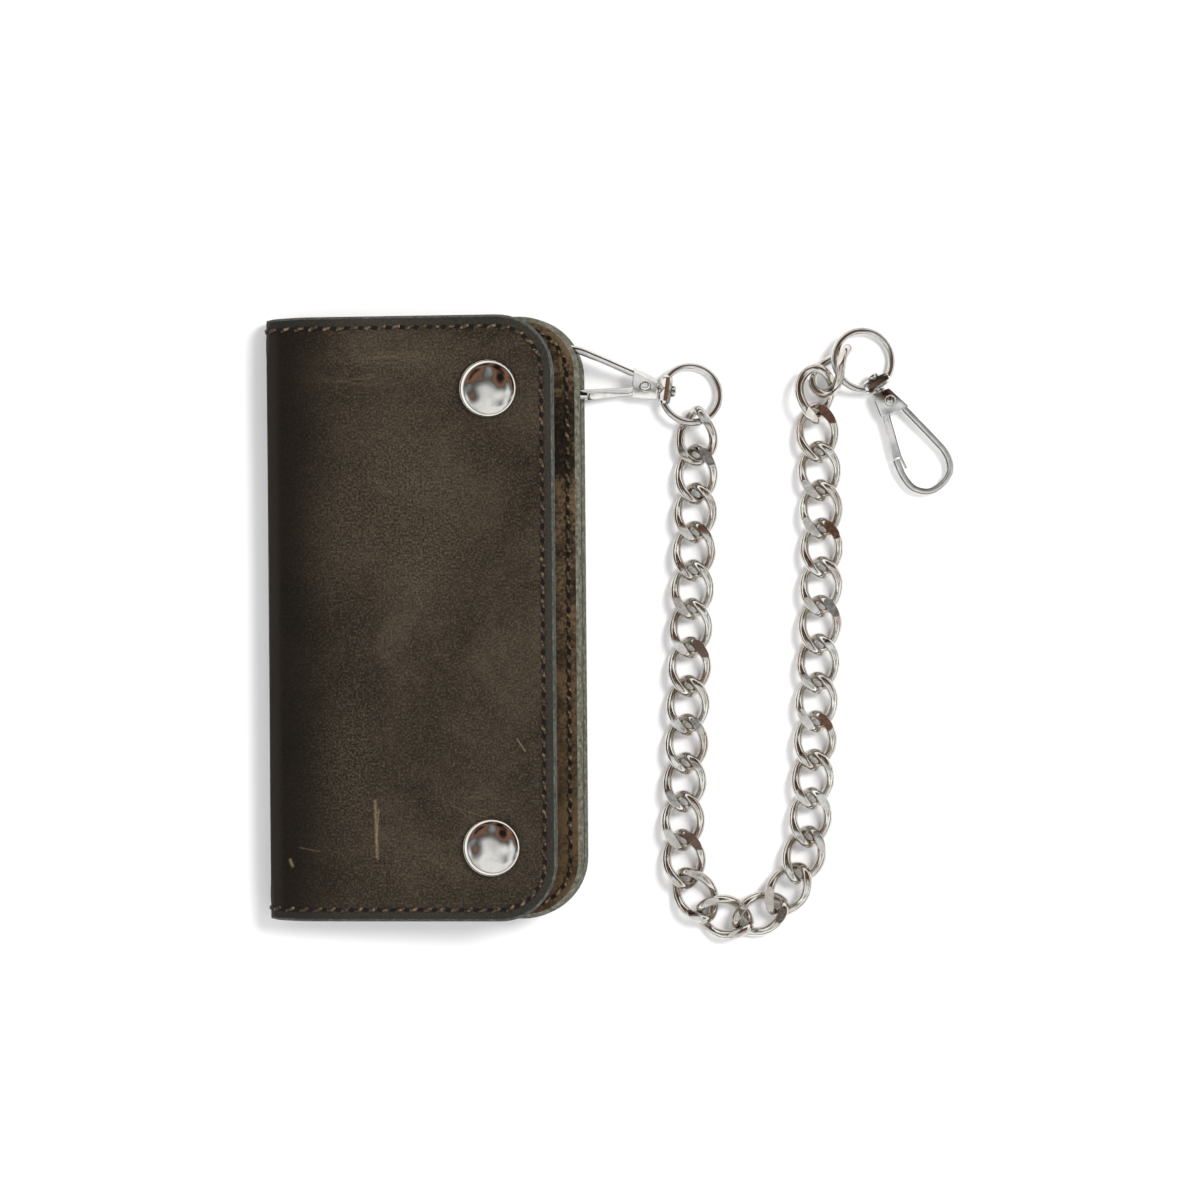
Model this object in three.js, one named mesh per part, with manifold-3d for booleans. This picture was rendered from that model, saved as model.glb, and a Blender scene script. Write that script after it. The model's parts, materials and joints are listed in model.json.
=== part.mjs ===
// A long leather chain wallet: a snap-fastened bifold with a curb chain between two swivel snap hooks.
// Millimetres, +Z up. The origin is the middle of the wallet's back face, which lies on the table.
import * as THREE from "three";
import { mergeVertices } from "three/addons/utils/BufferGeometryUtils.js";
import Module from "manifold-3d";

const wasm = await Module();
wasm.setup();

// ---- driving dimensions ----
const walletLength = 178; // along Y
const walletWidth = 94; // spine to the right edge of the back half, along X
const flapSetback = 9.2; // how far the front half stops short of the back half
const panelSetback = 1.7; // how far the inner panel of the back half stops short of it
const liningSetback = 1.3; // and the lining under that panel
const coverThickness = 2;
const panelThickness = 1.2;
const liningThickness = 1;
const pocketThickness = 1.1; // leather of the card pocket and of the coin pocket
const clearance = 0.3; // between pieces that touch
const fitClearance = 0.2; // round rivets and posts
const backCornerRadius = 18;
const flapCornerRadius = 17;
const pocketCornerRadius = 5;
const stitchInset = 3.5;
const stitchRadius = 0.35;
const cardPocketLength = 108;
const coinPocketLength = 100;
const pocketMargin = 8; // from a panel's edge to the pocket sewn on it

const snapSetback = 28.5; // from the wallet's right edge to a snap
const snapInset = 21.8; // from the wallet's top or bottom edge to a snap
const snapCapRadius = 8.5;
const snapCapRise = 2.7;
const snapPostRadius = 2;
const socketRadius = 6;
const socketBoreRadius = 3.9;
const studBallRadius = 3.3;
const studFlangeRadius = 5.4;
const studFlangeThickness = 0.6;
const studPinRadius = 1.5;

const hookReach = 24.1; // from the wallet's right edge to the boss of the near ring
const hookInset = 22; // from the wallet's top edge to that boss
const hookYaw = 170.8; // degrees from +X to the near hook's long axis
const hookRoll = 25; // how far the near hook is rolled, its solid side up
const hookPlay = 1.4; // free height above the near hook in the pocket's mouth
const hookThickness = 4;
const hookRodRadius = 1.2;
const hookNoseX = 36; // from the boss to the middle of the rod at the nose
const hookBackY = 8.2; // from the hook's axis to the middle of its solid side
const hookMouthY = -6.2; // and to the middle of the rod beside the gate
const gateThickness = 1.8;
const gatePivot = new THREE.Vector2(6.45, 1.06);
const gatePinRadius = 0.75;
const knuckleRadius = 1.65; // of the gate, round its pin
const rivetHeadRadius = 1.75;
const rivetHeadRise = 0.5;
const stemRadius = 1.1;
const stemHeadRadius = 1.8;
const stemHeadLength = 1.2;

const bossWidth = 3.2; // along the hook's axis
const bossLength = 8; // along the ring
const bossHeight = 4.4;
const ringWireRadius = 1.12;
const nearRingRadius = 8.6; // to the middle of the wire
const farRingRadius = 8.85;
const ringBossInset = 1; // how far the boss sits inside the ring's circle
const nearRingRoll = 12;
const farHookYaw = -61.5;

const linkCount = 30;
const linkWireRadius = 1.4; // the links' other sizes keep their proportion to it
const linkTwist = 45; // degrees, from the middle of a link to its end

const dRingDepth = 10.8; // from the middle of the bar to the middle of the bow
const dRingHalfWidth = 7;
const dRingWireRadius = 1.1;
const dRingRoll = -12;
const tabWidth = 8;
const tabLength = 24;
const tabThickness = 1.2;

// ---- values that follow from them ----
const rad = THREE.MathUtils.degToRad;
const spineX = -walletWidth / 2;
const backEdgeX = walletWidth / 2;
const halfLength = walletLength / 2;
const pocketFloor = coverThickness + clearance;
const snapX = backEdgeX - snapSetback;
const snapY = halfLength - snapInset;

// The near hook fills the bill pocket's mouth, so it sets how far the pocket's upper side is tilted.
const hookHalfHeight = (side) => Math.abs(side) * Math.sin(rad(hookRoll)) + hookRodRadius;
const nearBossX = backEdgeX + hookReach;
const nearBossY = halfLength - hookInset;
const hookWideX = 28; // where along the hook it is widest
const hookMiddleZ = pocketFloor + clearance + hookHalfHeight(hookMouthY);
const pocketMouth = hookMiddleZ + hookHalfHeight(hookBackY) + hookPlay - pocketFloor;
const wedge = Math.atan(pocketMouth / (nearBossX - hookWideX - spineX));

// The layers above the bill pocket, as distances from the lining's lower face.
const panelBase = liningThickness + clearance;
const cardPocketBase = panelBase + panelThickness + clearance;
const coinPocketBase = cardPocketBase + pocketThickness + clearance;
const flapPanelBase = coinPocketBase + pocketThickness + clearance;
const flapCoverBase = flapPanelBase + panelThickness + clearance;
const flapTop = flapCoverBase + coverThickness;
const spineHeight = pocketFloor + flapTop / Math.cos(wedge);

// A curb link's proportions.
const linkHalfWidth = 3.714 * linkWireRadius; // to the middle of the wire
const linkHalfLength = 5.536 * linkWireRadius;
const linkFlat = 2.121 * linkWireRadius; // from a link's middle plane to its filed flats
const linkRest = 2.143 * linkWireRadius; // height of a lying link's middle above the table
const linkSlack = 0.929 * linkWireRadius; // how far two links slide before they pull on each other
const linkPitch = 2 * (linkHalfLength - linkWireRadius) - linkSlack;

const leather = { color: 0x3b342b, roughness: 0.62, metalness: 0 };
const suede = { color: 0x6a5f4c, roughness: 0.9, metalness: 0 };
const thread = { color: 0x6b5238, roughness: 0.85, metalness: 0 };
const nickel = { color: 0xb9b3a6, roughness: 0.16, metalness: 1 };
const springSteel = { color: 0x8d8d8f, roughness: 0.3, metalness: 1 };

// ---- helpers ----
function named(name, geometry, finish) {
  const mesh = new THREE.Mesh(geometry, new THREE.MeshStandardMaterial(finish));
  mesh.name = name;
  return mesh;
}

// A geometry, moved by a matrix if one is given, as a solid that can be joined or cut.
function solid(geometry, matrix = new THREE.Matrix4()) {
  const bare = geometry.clone().applyMatrix4(matrix);
  bare.deleteAttribute("normal");
  bare.deleteAttribute("uv");
  const merged = mergeVertices(bare, 1e-4);
  return new wasm.Manifold(
    new wasm.Mesh({
      numProp: 3,
      vertProperties: merged.attributes.position.array,
      triVerts: merged.index.array,
    }),
  );
}

function geometryOf(made) {
  const mesh = made.getMesh();
  return new THREE.BufferGeometry()
    .setAttribute("position", new THREE.BufferAttribute(mesh.vertProperties, 3))
    .setIndex(new THREE.BufferAttribute(mesh.triVerts, 1));
}

const shift = (x, y, z) => new THREE.Matrix4().makeTranslation(x, y, z);
const alongX = (x, y, z) => shift(x, y, z).multiply(new THREE.Matrix4().makeRotationZ(-Math.PI / 2));
const alongZ = (x, y, z) => shift(x, y, z).multiply(new THREE.Matrix4().makeRotationX(Math.PI / 2));

// A flat piece: square corners at the left, round ones at the right.
function panelShape(left, right, half, radius) {
  const shape = new THREE.Shape();
  shape.moveTo(left, -half);
  shape.lineTo(right - radius, -half);
  shape.absarc(right - radius, radius - half, radius, -Math.PI / 2, 0);
  shape.absarc(right - radius, half - radius, radius, 0, Math.PI / 2);
  shape.lineTo(left, half);
  shape.closePath();
  return shape;
}

// Round holes for the two snaps, in a panel's own coordinates.
function addSnapHoles(shape, x, radius) {
  for (const y of [-snapY, snapY]) {
    const hole = new THREE.Path();
    hole.absarc(x, y, radius, 0, 2 * Math.PI, true);
    shape.holes.push(hole);
  }
  return shape;
}

const plate = (shape, depth, curveSegments = 5) =>
  new THREE.ExtrudeGeometry(shape, { depth, bevelEnabled: false, curveSegments });

const lathe = (points, segments) =>
  new THREE.LatheGeometry(points.map(([r, z]) => new THREE.Vector2(r, z)), segments);

// A wire along an open curve, with flat ends.
function wire(curve, radius, sides, steps) {
  const section = new THREE.Shape();
  section.absarc(0, 0, radius, 0, 2 * Math.PI);
  return new THREE.ExtrudeGeometry(section, { extrudePath: curve, steps, curveSegments: sides });
}

// A wire bent into a closed loop round the origin: a torus laid onto the curve centre(angle).
function loopWire(centre, radius, sides, steps) {
  const torus = new THREE.TorusGeometry(1, radius, sides, steps);
  const place = torus.attributes.position;
  for (let step = 0; step <= steps; step++) {
    const angle = ((step % steps) / steps) * 2 * Math.PI;
    const middle = centre(angle);
    const tangent = centre(angle + 0.001).sub(centre(angle - 0.001)).normalize();
    const side = new THREE.Vector3().crossVectors(middle, tangent).normalize();
    const outward = new THREE.Vector3().crossVectors(tangent, side);
    for (let turn = 0; turn <= sides; turn++) {
      const around = ((turn % sides) / sides) * 2 * Math.PI;
      const point = middle
        .clone()
        .addScaledVector(outward, radius * Math.cos(around))
        .addScaledVector(side, radius * Math.sin(around));
      place.setXYZ(turn * (steps + 1) + step, point.x, point.y, point.z);
    }
  }
  return torus;
}

// ---- the wallet's leather ----
const wallet = new THREE.Group();

const backCoverLeft = spineX + coverThickness + clearance;
const backCover = named(
  "back_cover",
  plate(panelShape(backCoverLeft, backEdgeX, halfLength, backCornerRadius), coverThickness),
  leather,
);

const spineStrip = new THREE.BoxGeometry(coverThickness, walletLength, spineHeight);
const spine = named("spine", spineStrip, leather);
spine.position.set(spineX + coverThickness / 2, 0, spineHeight / 2);
wallet.add(backCover, spine);

// Everything above the bill pocket lies in this group, whose x runs from the spine along the tilted layers.
const layers = new THREE.Group();
layers.position.set(spineX, 0, pocketFloor);
layers.rotation.y = -wedge;
wallet.add(layers);

// Where a point above x, at a height over the lining's lower face, lies along the tilted layers.
const layerX = (x, height) => (x - spineX + height * Math.sin(wedge)) / Math.cos(wedge);
const layerLeft = layerX(spineX + coverThickness + clearance, flapTop);
const liningEdge = layerX(backEdgeX - liningSetback, liningThickness);
const panelEdge = layerX(backEdgeX - panelSetback, panelBase + panelThickness);
const flapEdge = layerX(backEdgeX - flapSetback, flapTop);
const snapLayerX = layerX(snapX, flapTop + snapCapRise);
const studHole = studPinRadius + fitClearance;
const postHole = snapPostRadius + fitClearance;

function addLayer(name, shape, thickness, base, finish) {
  const mesh = named(name, plate(shape, thickness), finish);
  mesh.position.z = base;
  layers.add(mesh);
}

const liningShape = panelShape(layerLeft, liningEdge, halfLength - clearance, backCornerRadius);
addLayer("bill_pocket_lining", addSnapHoles(liningShape, snapLayerX, studHole), liningThickness, 0, suede);

const backPanelShape = panelShape(layerLeft, panelEdge, halfLength - 2 * clearance, flapCornerRadius);
addLayer(
  "back_inner_panel",
  addSnapHoles(backPanelShape, snapLayerX, studHole),
  panelThickness,
  panelBase,
  leather,
);

const cardPocketShape = panelShape(
  layerLeft + pocketMargin,
  flapEdge - pocketMargin,
  cardPocketLength / 2,
  pocketCornerRadius,
);
addLayer("card_pocket", cardPocketShape, pocketThickness, cardPocketBase, leather);

const coinPocketShape = panelShape(
  layerLeft + pocketMargin,
  flapEdge - pocketMargin,
  coinPocketLength / 2,
  pocketCornerRadius,
);
addLayer("coin_pocket", coinPocketShape, pocketThickness, coinPocketBase, leather);

const flapPanelShape = panelShape(layerLeft, flapEdge, halfLength - 2 * clearance, flapCornerRadius);
addLayer(
  "front_inner_panel",
  addSnapHoles(flapPanelShape, snapLayerX, postHole),
  panelThickness,
  flapPanelBase,
  leather,
);

const flapCoverShape = panelShape(layerLeft, flapEdge, halfLength, flapCornerRadius);
addLayer(
  "front_cover",
  addSnapHoles(flapCoverShape, snapLayerX, postHole),
  coverThickness,
  flapCoverBase,
  leather,
);

// A line of thread along the top, right and bottom edges of a layer.
function stitching(name, edge, half, radius, base) {
  const line = new THREE.CurvePath();
  const inner = radius - stitchInset;
  const start = layerLeft + stitchInset;
  const right = edge - stitchInset;
  const top = half - stitchInset;
  const corner = (y, from) =>
    new THREE.EllipseCurve(right - inner, y, inner, inner, from, from + Math.PI / 2);
  const flat = new THREE.Path();
  flat.moveTo(start, -top);
  flat.lineTo(right - inner, -top);
  flat.curves.push(corner(inner - top, -Math.PI / 2));
  flat.currentPoint.set(right, inner - top);
  flat.lineTo(right, top - inner);
  flat.curves.push(corner(top - inner, 0));
  flat.currentPoint.set(right - inner, top);
  flat.lineTo(start, top);
  const points = flat.getPoints(4).map((p) => new THREE.Vector3(p.x, p.y, 0));
  for (let i = 1; i < points.length; i++) {
    if (points[i].distanceTo(points[i - 1]) > clearance) {
      line.add(new THREE.LineCurve3(points[i - 1], points[i]));
    }
  }
  const mesh = named(name, wire(line, stitchRadius, 3, 44), thread);
  mesh.position.z = base + clearance + stitchRadius;
  layers.add(mesh);
}

stitching("front_stitching", flapEdge, halfLength, flapCornerRadius, flapTop);
stitching(
  "back_stitching",
  panelEdge,
  halfLength - 2 * clearance,
  flapCornerRadius,
  panelBase + panelThickness,
);

// ---- the snaps ----
const socketTop = flapPanelBase - clearance;
const studFlangeBase = panelBase + panelThickness + clearance;
const socketBase = studFlangeBase + studFlangeThickness + clearance;
const socketWeb = 0.5; // the socket's upper wall, round the cap's post
const socketRoof = socketTop - socketWeb;
const stackTop = flapTop + fitClearance;

const capProfile = [
  [0, stackTop + snapCapRise],
  [snapCapRadius * 0.42, stackTop + snapCapRise * 0.92],
  [snapCapRadius * 0.74, stackTop + snapCapRise * 0.67],
  [snapCapRadius * 0.94, stackTop + snapCapRise * 0.33],
  [snapCapRadius, stackTop + snapCapRise * 0.14],
  [snapCapRadius * 0.98, stackTop],
  [snapPostRadius, stackTop],
  [snapPostRadius, socketRoof],
  [0, socketRoof],
].reverse();

const socketProfile = [
  [postHole, socketTop],
  [socketRadius, socketTop],
  [socketRadius, socketBase],
  [socketBoreRadius, socketBase],
  [socketBoreRadius, socketRoof],
  [postHole, socketRoof],
  [postHole, socketTop],
].reverse();

const studTop = socketRoof - clearance;
const studProfile = [
  [studPinRadius + fitClearance, studFlangeBase],
  [studFlangeRadius, studFlangeBase],
  [studFlangeRadius, studFlangeBase + studFlangeThickness],
  [studBallRadius, studFlangeBase + studFlangeThickness],
  [studBallRadius, studTop - 0.3],
  [studBallRadius - 0.4, studTop],
  [studPinRadius + fitClearance, studTop],
  [studPinRadius + fitClearance, studFlangeBase],
];

const studPostProfile = [
  [0, -clearance - studFlangeThickness],
  [studFlangeRadius, -clearance - studFlangeThickness],
  [studFlangeRadius, -clearance],
  [studPinRadius, -clearance],
  [studPinRadius, studTop - clearance],
  [0, studTop - clearance],
];

for (const [place, y] of [["upper", snapY], ["lower", -snapY]]) {
  const pieces = [
    ["snap_cap_", capProfile, 28],
    ["snap_socket_", socketProfile, 20],
    ["snap_stud_", studProfile, 20],
    ["snap_stud_post_", studPostProfile, 16],
  ];
  for (const [stem, profile, segments] of pieces) {
    const mesh = named(stem + place, lathe(profile, segments), nickel);
    mesh.rotation.x = Math.PI / 2;
    const holder = new THREE.Group();
    holder.position.set(snapLayerX, y, 0);
    holder.add(mesh);
    layers.add(holder);
  }
}

// ---- a swivel snap hook and its ring, in the hook's own frame ----
// +X runs from the boss to the nose and +Y is the solid side. The ring's boss is at the origin.
const cheekHalf = hookThickness / 2;
const slotHalf = gateThickness / 2 + clearance;

function hookBodyGeometry() {
  const blockStart = bossWidth / 2 + clearance + 0.4;
  const outline = new THREE.Shape();
  outline.moveTo(blockStart, -2.6);
  outline.lineTo(blockStart + 0.7, 2.6);
  outline.lineTo(10.6, 5.1);
  outline.lineTo(9.6, -3.4);
  outline.closePath();
  const block = solid(plate(outline, hookThickness), shift(0, 0, -cheekHalf));
  const slot = new THREE.BoxGeometry(9, 8, 2 * slotHalf);
  const slotRoom = knuckleRadius + clearance; // between the pivot and the slot's two walls
  const slotCut = solid(slot, shift(gatePivot.x - slotRoom + 4.5, gatePivot.y + slotRoom - 4, 0));
  const pinHole = new THREE.CylinderGeometry(
    gatePinRadius + fitClearance,
    gatePinRadius + fitClearance,
    hookThickness + 1,
    12,
  );
  const rod = new THREE.CatmullRomCurve3([
    new THREE.Vector3(9.2, 3.7, 0),
    new THREE.Vector3(hookWideX - 6.5, hookBackY - 1.4, 0),
    new THREE.Vector3(hookWideX, hookBackY, 0),
    new THREE.Vector3(hookNoseX - 3.4, hookBackY - 0.9, 0),
    new THREE.Vector3(hookNoseX - 0.9, hookBackY - 3.8, 0),
    new THREE.Vector3(hookNoseX, 0.2, 0),
    new THREE.Vector3(hookNoseX - 1, hookMouthY + 3.2, 0),
    new THREE.Vector3(hookNoseX - 4, hookMouthY + 0.7, 0),
    new THREE.Vector3(hookWideX - 0.5, hookMouthY, 0),
    new THREE.Vector3(hookWideX - 5.3, hookMouthY + 0.5, 0),
  ]);
  const stemStart = blockStart + 0.6;
  const headEnd = -bossWidth / 2 - clearance;
  const stem = new THREE.CylinderGeometry(stemRadius, stemRadius, stemStart - headEnd, 12);
  const head = new THREE.CylinderGeometry(stemHeadRadius, stemHeadRadius * 0.8, stemHeadLength, 12);
  return geometryOf(
    block
      .subtract(slotCut)
      .subtract(solid(pinHole, alongZ(gatePivot.x, gatePivot.y, 0)))
      .add(solid(wire(rod, hookRodRadius, 4, 30)))
      .add(solid(stem, alongX((stemStart + headEnd) / 2, 0, 0)))
      .add(solid(head, alongX(headEnd - stemHeadLength / 2 + 0.1, 0, 0))),
  );
}

function gateGeometry() {
  const knuckleDepth = gateThickness * 0.6;
  const knuckle = new THREE.Shape();
  knuckle.absarc(gatePivot.x, gatePivot.y, knuckleRadius, 0, 2 * Math.PI);
  const pinHole = new THREE.Path();
  pinHole.absarc(gatePivot.x, gatePivot.y, gatePinRadius + fitClearance, 0, 2 * Math.PI, true);
  knuckle.holes.push(pinHole);
  const gateEndX = hookWideX - 6.5;
  const gateEndY = hookMouthY + 0.55;
  const tongueY = hookMouthY + hookRodRadius + clearance;
  const arm = new THREE.Shape();
  arm.moveTo(gatePivot.x + 0.6, gatePivot.y - 1.2);
  arm.lineTo(gatePivot.x + 2.4, -2.9);
  arm.lineTo(gatePivot.x + 4.3, -3.4);
  arm.lineTo(gateEndX, gateEndY - 1.1);
  arm.lineTo(gateEndX, tongueY + 0.3);
  arm.lineTo(hookWideX - 1.5, tongueY + 0.1);
  arm.lineTo(hookWideX - 1.5, tongueY + 0.8);
  arm.lineTo(gateEndX, gateEndY + 1.9);
  arm.lineTo(gatePivot.x + 4.3, -1.1);
  arm.lineTo(gatePivot.x + 1.6, gatePivot.y - 0.6);
  arm.closePath();
  const half = gateThickness / 2;
  return geometryOf(
    solid(plate(knuckle, knuckleDepth, 8), shift(0, 0, -half)).add(
      solid(plate(arm, gateThickness), shift(0, 0, -half)).subtract(
        solid(new THREE.CylinderGeometry(2.2, 2.2, gateThickness, 16),
          alongZ(gatePivot.x, gatePivot.y, half - gateThickness + knuckleDepth + gateThickness / 2)),
      ),
    ),
  );
}

function pinGeometry() {
  const half = cheekHalf + fitClearance;
  const profile = [
    [0, -half - rivetHeadRise],
    [rivetHeadRadius * 0.6, -half - rivetHeadRise * 0.8],
    [rivetHeadRadius, -half],
    [gatePinRadius, -half],
    [gatePinRadius, half],
    [rivetHeadRadius, half],
    [rivetHeadRadius * 0.6, half + rivetHeadRise * 0.8],
    [0, half + rivetHeadRise],
  ];
  return lathe(profile, 14);
}

function springGeometry() {
  const springWire = 0.22;
  const coil = new THREE.TorusGeometry(gatePinRadius + fitClearance + 2 * springWire, springWire, 6, 14);
  const leg = new THREE.BoxGeometry(2.4, 2 * springWire, 2 * springWire);
  const legZ = gateThickness / 2 - springWire;
  return geometryOf(
    solid(coil, shift(gatePivot.x, gatePivot.y, legZ)).add(
      solid(leg, shift(gatePivot.x + 1.2, gatePivot.y + gatePinRadius + fitClearance + 2 * springWire, legZ)),
    ),
  );
}

// The ring's wire stops inside the boss, which is bored for the hook's stem.
function ringGeometry(radius) {
  const centreX = ringBossInset - radius;
  const ring = solid(new THREE.TorusGeometry(radius, ringWireRadius, 8, 28), shift(centreX, 0, 0));
  const gap = new THREE.BoxGeometry(4 * ringWireRadius, bossLength - 1, 4 * ringWireRadius);
  const boss = new THREE.CylinderGeometry(bossHeight / 2, bossHeight / 2, bossLength, 10);
  const bossMatrix = new THREE.Matrix4().makeScale(bossWidth / bossHeight, 1, 1);
  const bore = stemRadius + clearance;
  const boreTool = new THREE.CylinderGeometry(bore, bore, 2 * bossWidth, 12);
  return geometryOf(
    ring
      .subtract(solid(gap, shift(ringBossInset, 0, 0)))
      .add(solid(boss, bossMatrix))
      .subtract(solid(boreTool, alongX(0, 0, 0))),
  );
}

// A hook and its ring: yaw and pitch aim the shared axis, and each piece is rolled about it.
function snapHook(side, radius, yaw, pitch, roll, ringRoll) {
  const group = new THREE.Group();
  group.rotation.set(0, -pitch, rad(yaw), "ZYX");
  const hook = new THREE.Group();
  hook.rotation.x = roll;
  const pin = named(side + "_gate_pin", pinGeometry(), nickel);
  pin.rotation.x = Math.PI / 2;
  pin.position.set(gatePivot.x, gatePivot.y, 0);
  hook.add(
    named(side + "_hook_body", hookBodyGeometry(), nickel),
    named(side + "_hook_gate", gateGeometry(), nickel),
    named(side + "_gate_spring", springGeometry(), springSteel),
    pin,
  );
  const ring = named(side + "_swivel_ring", ringGeometry(radius), nickel);
  ring.rotation.x = rad(ringRoll);
  group.add(hook, ring);
  return group;
}

// ---- the near hook, the D-ring and its tab ----
const nearRingCentreX = ringBossInset - nearRingRadius;
const nearRingDrop = nearRingRadius * Math.sin(rad(Math.abs(nearRingRoll))) + ringWireRadius;
// The pitch lifts the hook from the ring, whose edge is on the table, to the pocket's floor.
const ringMiddleZ = nearRingDrop + clearance / 2;
const nearPitch = Math.asin((hookMiddleZ - ringMiddleZ) / (hookWideX - nearRingCentreX));
const nearBossZ = ringMiddleZ - nearRingCentreX * Math.sin(nearPitch);
const nearHook = snapHook(
  "near",
  nearRingRadius,
  hookYaw,
  nearPitch,
  Math.PI - rad(hookRoll),
  nearRingRoll,
);
nearHook.position.set(nearBossX, nearBossY, nearBossZ);
nearHook.updateMatrixWorld(true);

// The D-ring's bow passes inside the hook's nose, and the tab's fold holds its bar above the back cover.
const foldInner = dRingWireRadius + clearance + (tabWidth / 2) * Math.sin(rad(Math.abs(dRingRoll)));
const foldOuter = foldInner + tabThickness;
const bowSeat = hookNoseX - hookRodRadius - dRingWireRadius - 2 * clearance;
const bow = new THREE.Vector3(bowSeat, 0, 0).applyMatrix4(nearHook.matrixWorld);
const barZ = pocketFloor + foldOuter;
const dRingPitch = Math.asin((bow.z - barZ) / dRingDepth);
const barX = bow.x - dRingDepth * Math.cos(dRingPitch);
const dRing = new THREE.Group();
dRing.position.set(barX, bow.y, barZ);
dRing.rotation.set(rad(dRingRoll), -dRingPitch, 0, "ZYX");
const dRingCurve = new THREE.CatmullRomCurve3(
  [
    [-dRingDepth / 2, -dRingHalfWidth * 0.9],
    [-dRingDepth / 2, 0],
    [-dRingDepth / 2, dRingHalfWidth * 0.9],
    [-dRingDepth * 0.2, dRingHalfWidth],
    [dRingDepth * 0.3, dRingHalfWidth * 0.8],
    [dRingDepth / 2, 0],
    [dRingDepth * 0.3, -dRingHalfWidth * 0.8],
    [-dRingDepth * 0.2, -dRingHalfWidth],
  ]
    .reverse()
    .map(([x, y]) => new THREE.Vector3(x, y, 0)),
  true,
);
const dRingMesh = named(
  "d_ring",
  loopWire((angle) => dRingCurve.getPoint((1 + angle / (2 * Math.PI)) % 1), dRingWireRadius, 8, 28),
  nickel,
);
dRingMesh.position.x = dRingDepth / 2;
dRing.add(dRingMesh);

// The tab is folded round the D-ring's bar, and its two ends lie on the back cover.
const tabShape = new THREE.Shape();
const tabTop = pocketFloor + 2 * tabThickness;
const tabStart = barX - tabLength;
tabShape.moveTo(tabStart, pocketFloor);
tabShape.lineTo(barX, pocketFloor);
tabShape.absarc(barX, barZ, foldOuter, -Math.PI / 2, rad(140));
tabShape.lineTo(barX - foldOuter - 3, tabTop);
tabShape.lineTo(tabStart, tabTop);
tabShape.closePath();
const barHole = new THREE.Path();
barHole.absarc(barX, barZ, foldInner, 0, 2 * Math.PI, true);
tabShape.holes.push(barHole);
const tab = named("chain_tab", plate(tabShape, tabWidth, 6), leather);
tab.rotation.x = Math.PI / 2;
tab.position.y = dRing.position.y + tabWidth / 2;
wallet.add(dRing, tab);

// ---- the chain ----
// A curb link: an oval ring of wire, twisted a quarter turn end to end and filed flat on both faces.
function linkGeometry() {
  const centre = (angle) => {
    const turn = rad(linkTwist) * Math.sin(angle);
    const across = linkHalfWidth * Math.cos(angle);
    return new THREE.Vector3(
      across * Math.cos(turn),
      linkHalfLength * Math.sin(angle),
      across * Math.sin(turn),
    );
  };
  const link = loopWire(centre, linkWireRadius, 8, 16);
  const place = link.attributes.position;
  for (let i = 0; i < place.count; i++) {
    place.setZ(i, THREE.MathUtils.clamp(place.getZ(i), -linkFlat, linkFlat));
  }
  return link;
}

// The chain's start: where the near ring's wire lies in the first link.
const ringHang = rad(-78); // direction from the ring's centre to that place
const ringSeat = 1.286 * linkWireRadius; // from the wire to the first link's pivot
const nearRingCentre = new THREE.Vector3(nearRingCentreX, 0, 0).applyMatrix4(nearHook.matrixWorld);
const chainStart = new THREE.Vector3(
  nearRingCentre.x + nearRingRadius * Math.cos(ringHang),
  nearRingCentre.y + nearRingRadius * Math.sin(ringHang) + ringSeat,
  0,
);

// The way the chain lies, from its start: down, round, and up to the far ring. It is drawn for one pitch.
const drawnPitch = 11.4;
const chainScale = linkPitch / drawnPitch;
const route = new THREE.CatmullRomCurve3(
  [
    [0, 0],
    [-0.6, -25],
    [-2, -55],
    [-4.3, -105],
    [-5.4, -126],
    [-4.4, -137.5],
    [0.9, -146.4],
    [10, -150.2],
    [20.2, -147.2],
    [27.6, -138.8],
    [31.6, -128],
    [33.2, -112],
    [35.3, -74],
    [36.7, -39],
    [35.9, -10],
    [35.2, 1],
    [34.8, 14],
    [35, 24],
  ].map(([x, y]) => new THREE.Vector3(chainStart.x + x * chainScale, chainStart.y + y * chainScale, 0)),
);

// The pivots between links, one pitch apart in a straight line, each link's first one first.
function linkPivots() {
  const pivots = [route.getPoint(0)];
  const grain = 12000;
  for (let i = 1; i <= grain && pivots.length < linkCount; i++) {
    const point = route.getPoint(i / grain);
    if (point.distanceTo(pivots[pivots.length - 1]) >= linkPitch) pivots.push(point);
  }
  return pivots;
}

// The first links are lifted and rolled, so that the ring's wire goes over one side and under the other.
const startLift = [1.9, 0.5];
const startRoll = [22, 6];
const pivots = linkPivots();
pivots.forEach((pivot, i) => {
  pivot.z = linkRest + (startLift[i] ?? 0) * chainScale;
});

const linkShape = linkGeometry();
const chain = new THREE.Group();

// A link with its middle at a point, its length along a direction, rolled about it by an angle.
function addLink(number, middle, along, roll) {
  const across = new THREE.Vector3().crossVectors(along, new THREE.Vector3(0, 0, 1)).normalize();
  const up = new THREE.Vector3().crossVectors(across, along);
  const link = named("link_" + String(number).padStart(2, "0"), linkShape, nickel);
  link.quaternion.setFromRotationMatrix(new THREE.Matrix4().makeBasis(across, along, up));
  link.rotateY(rad(roll));
  link.position.copy(middle);
  chain.add(link);
}

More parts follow.
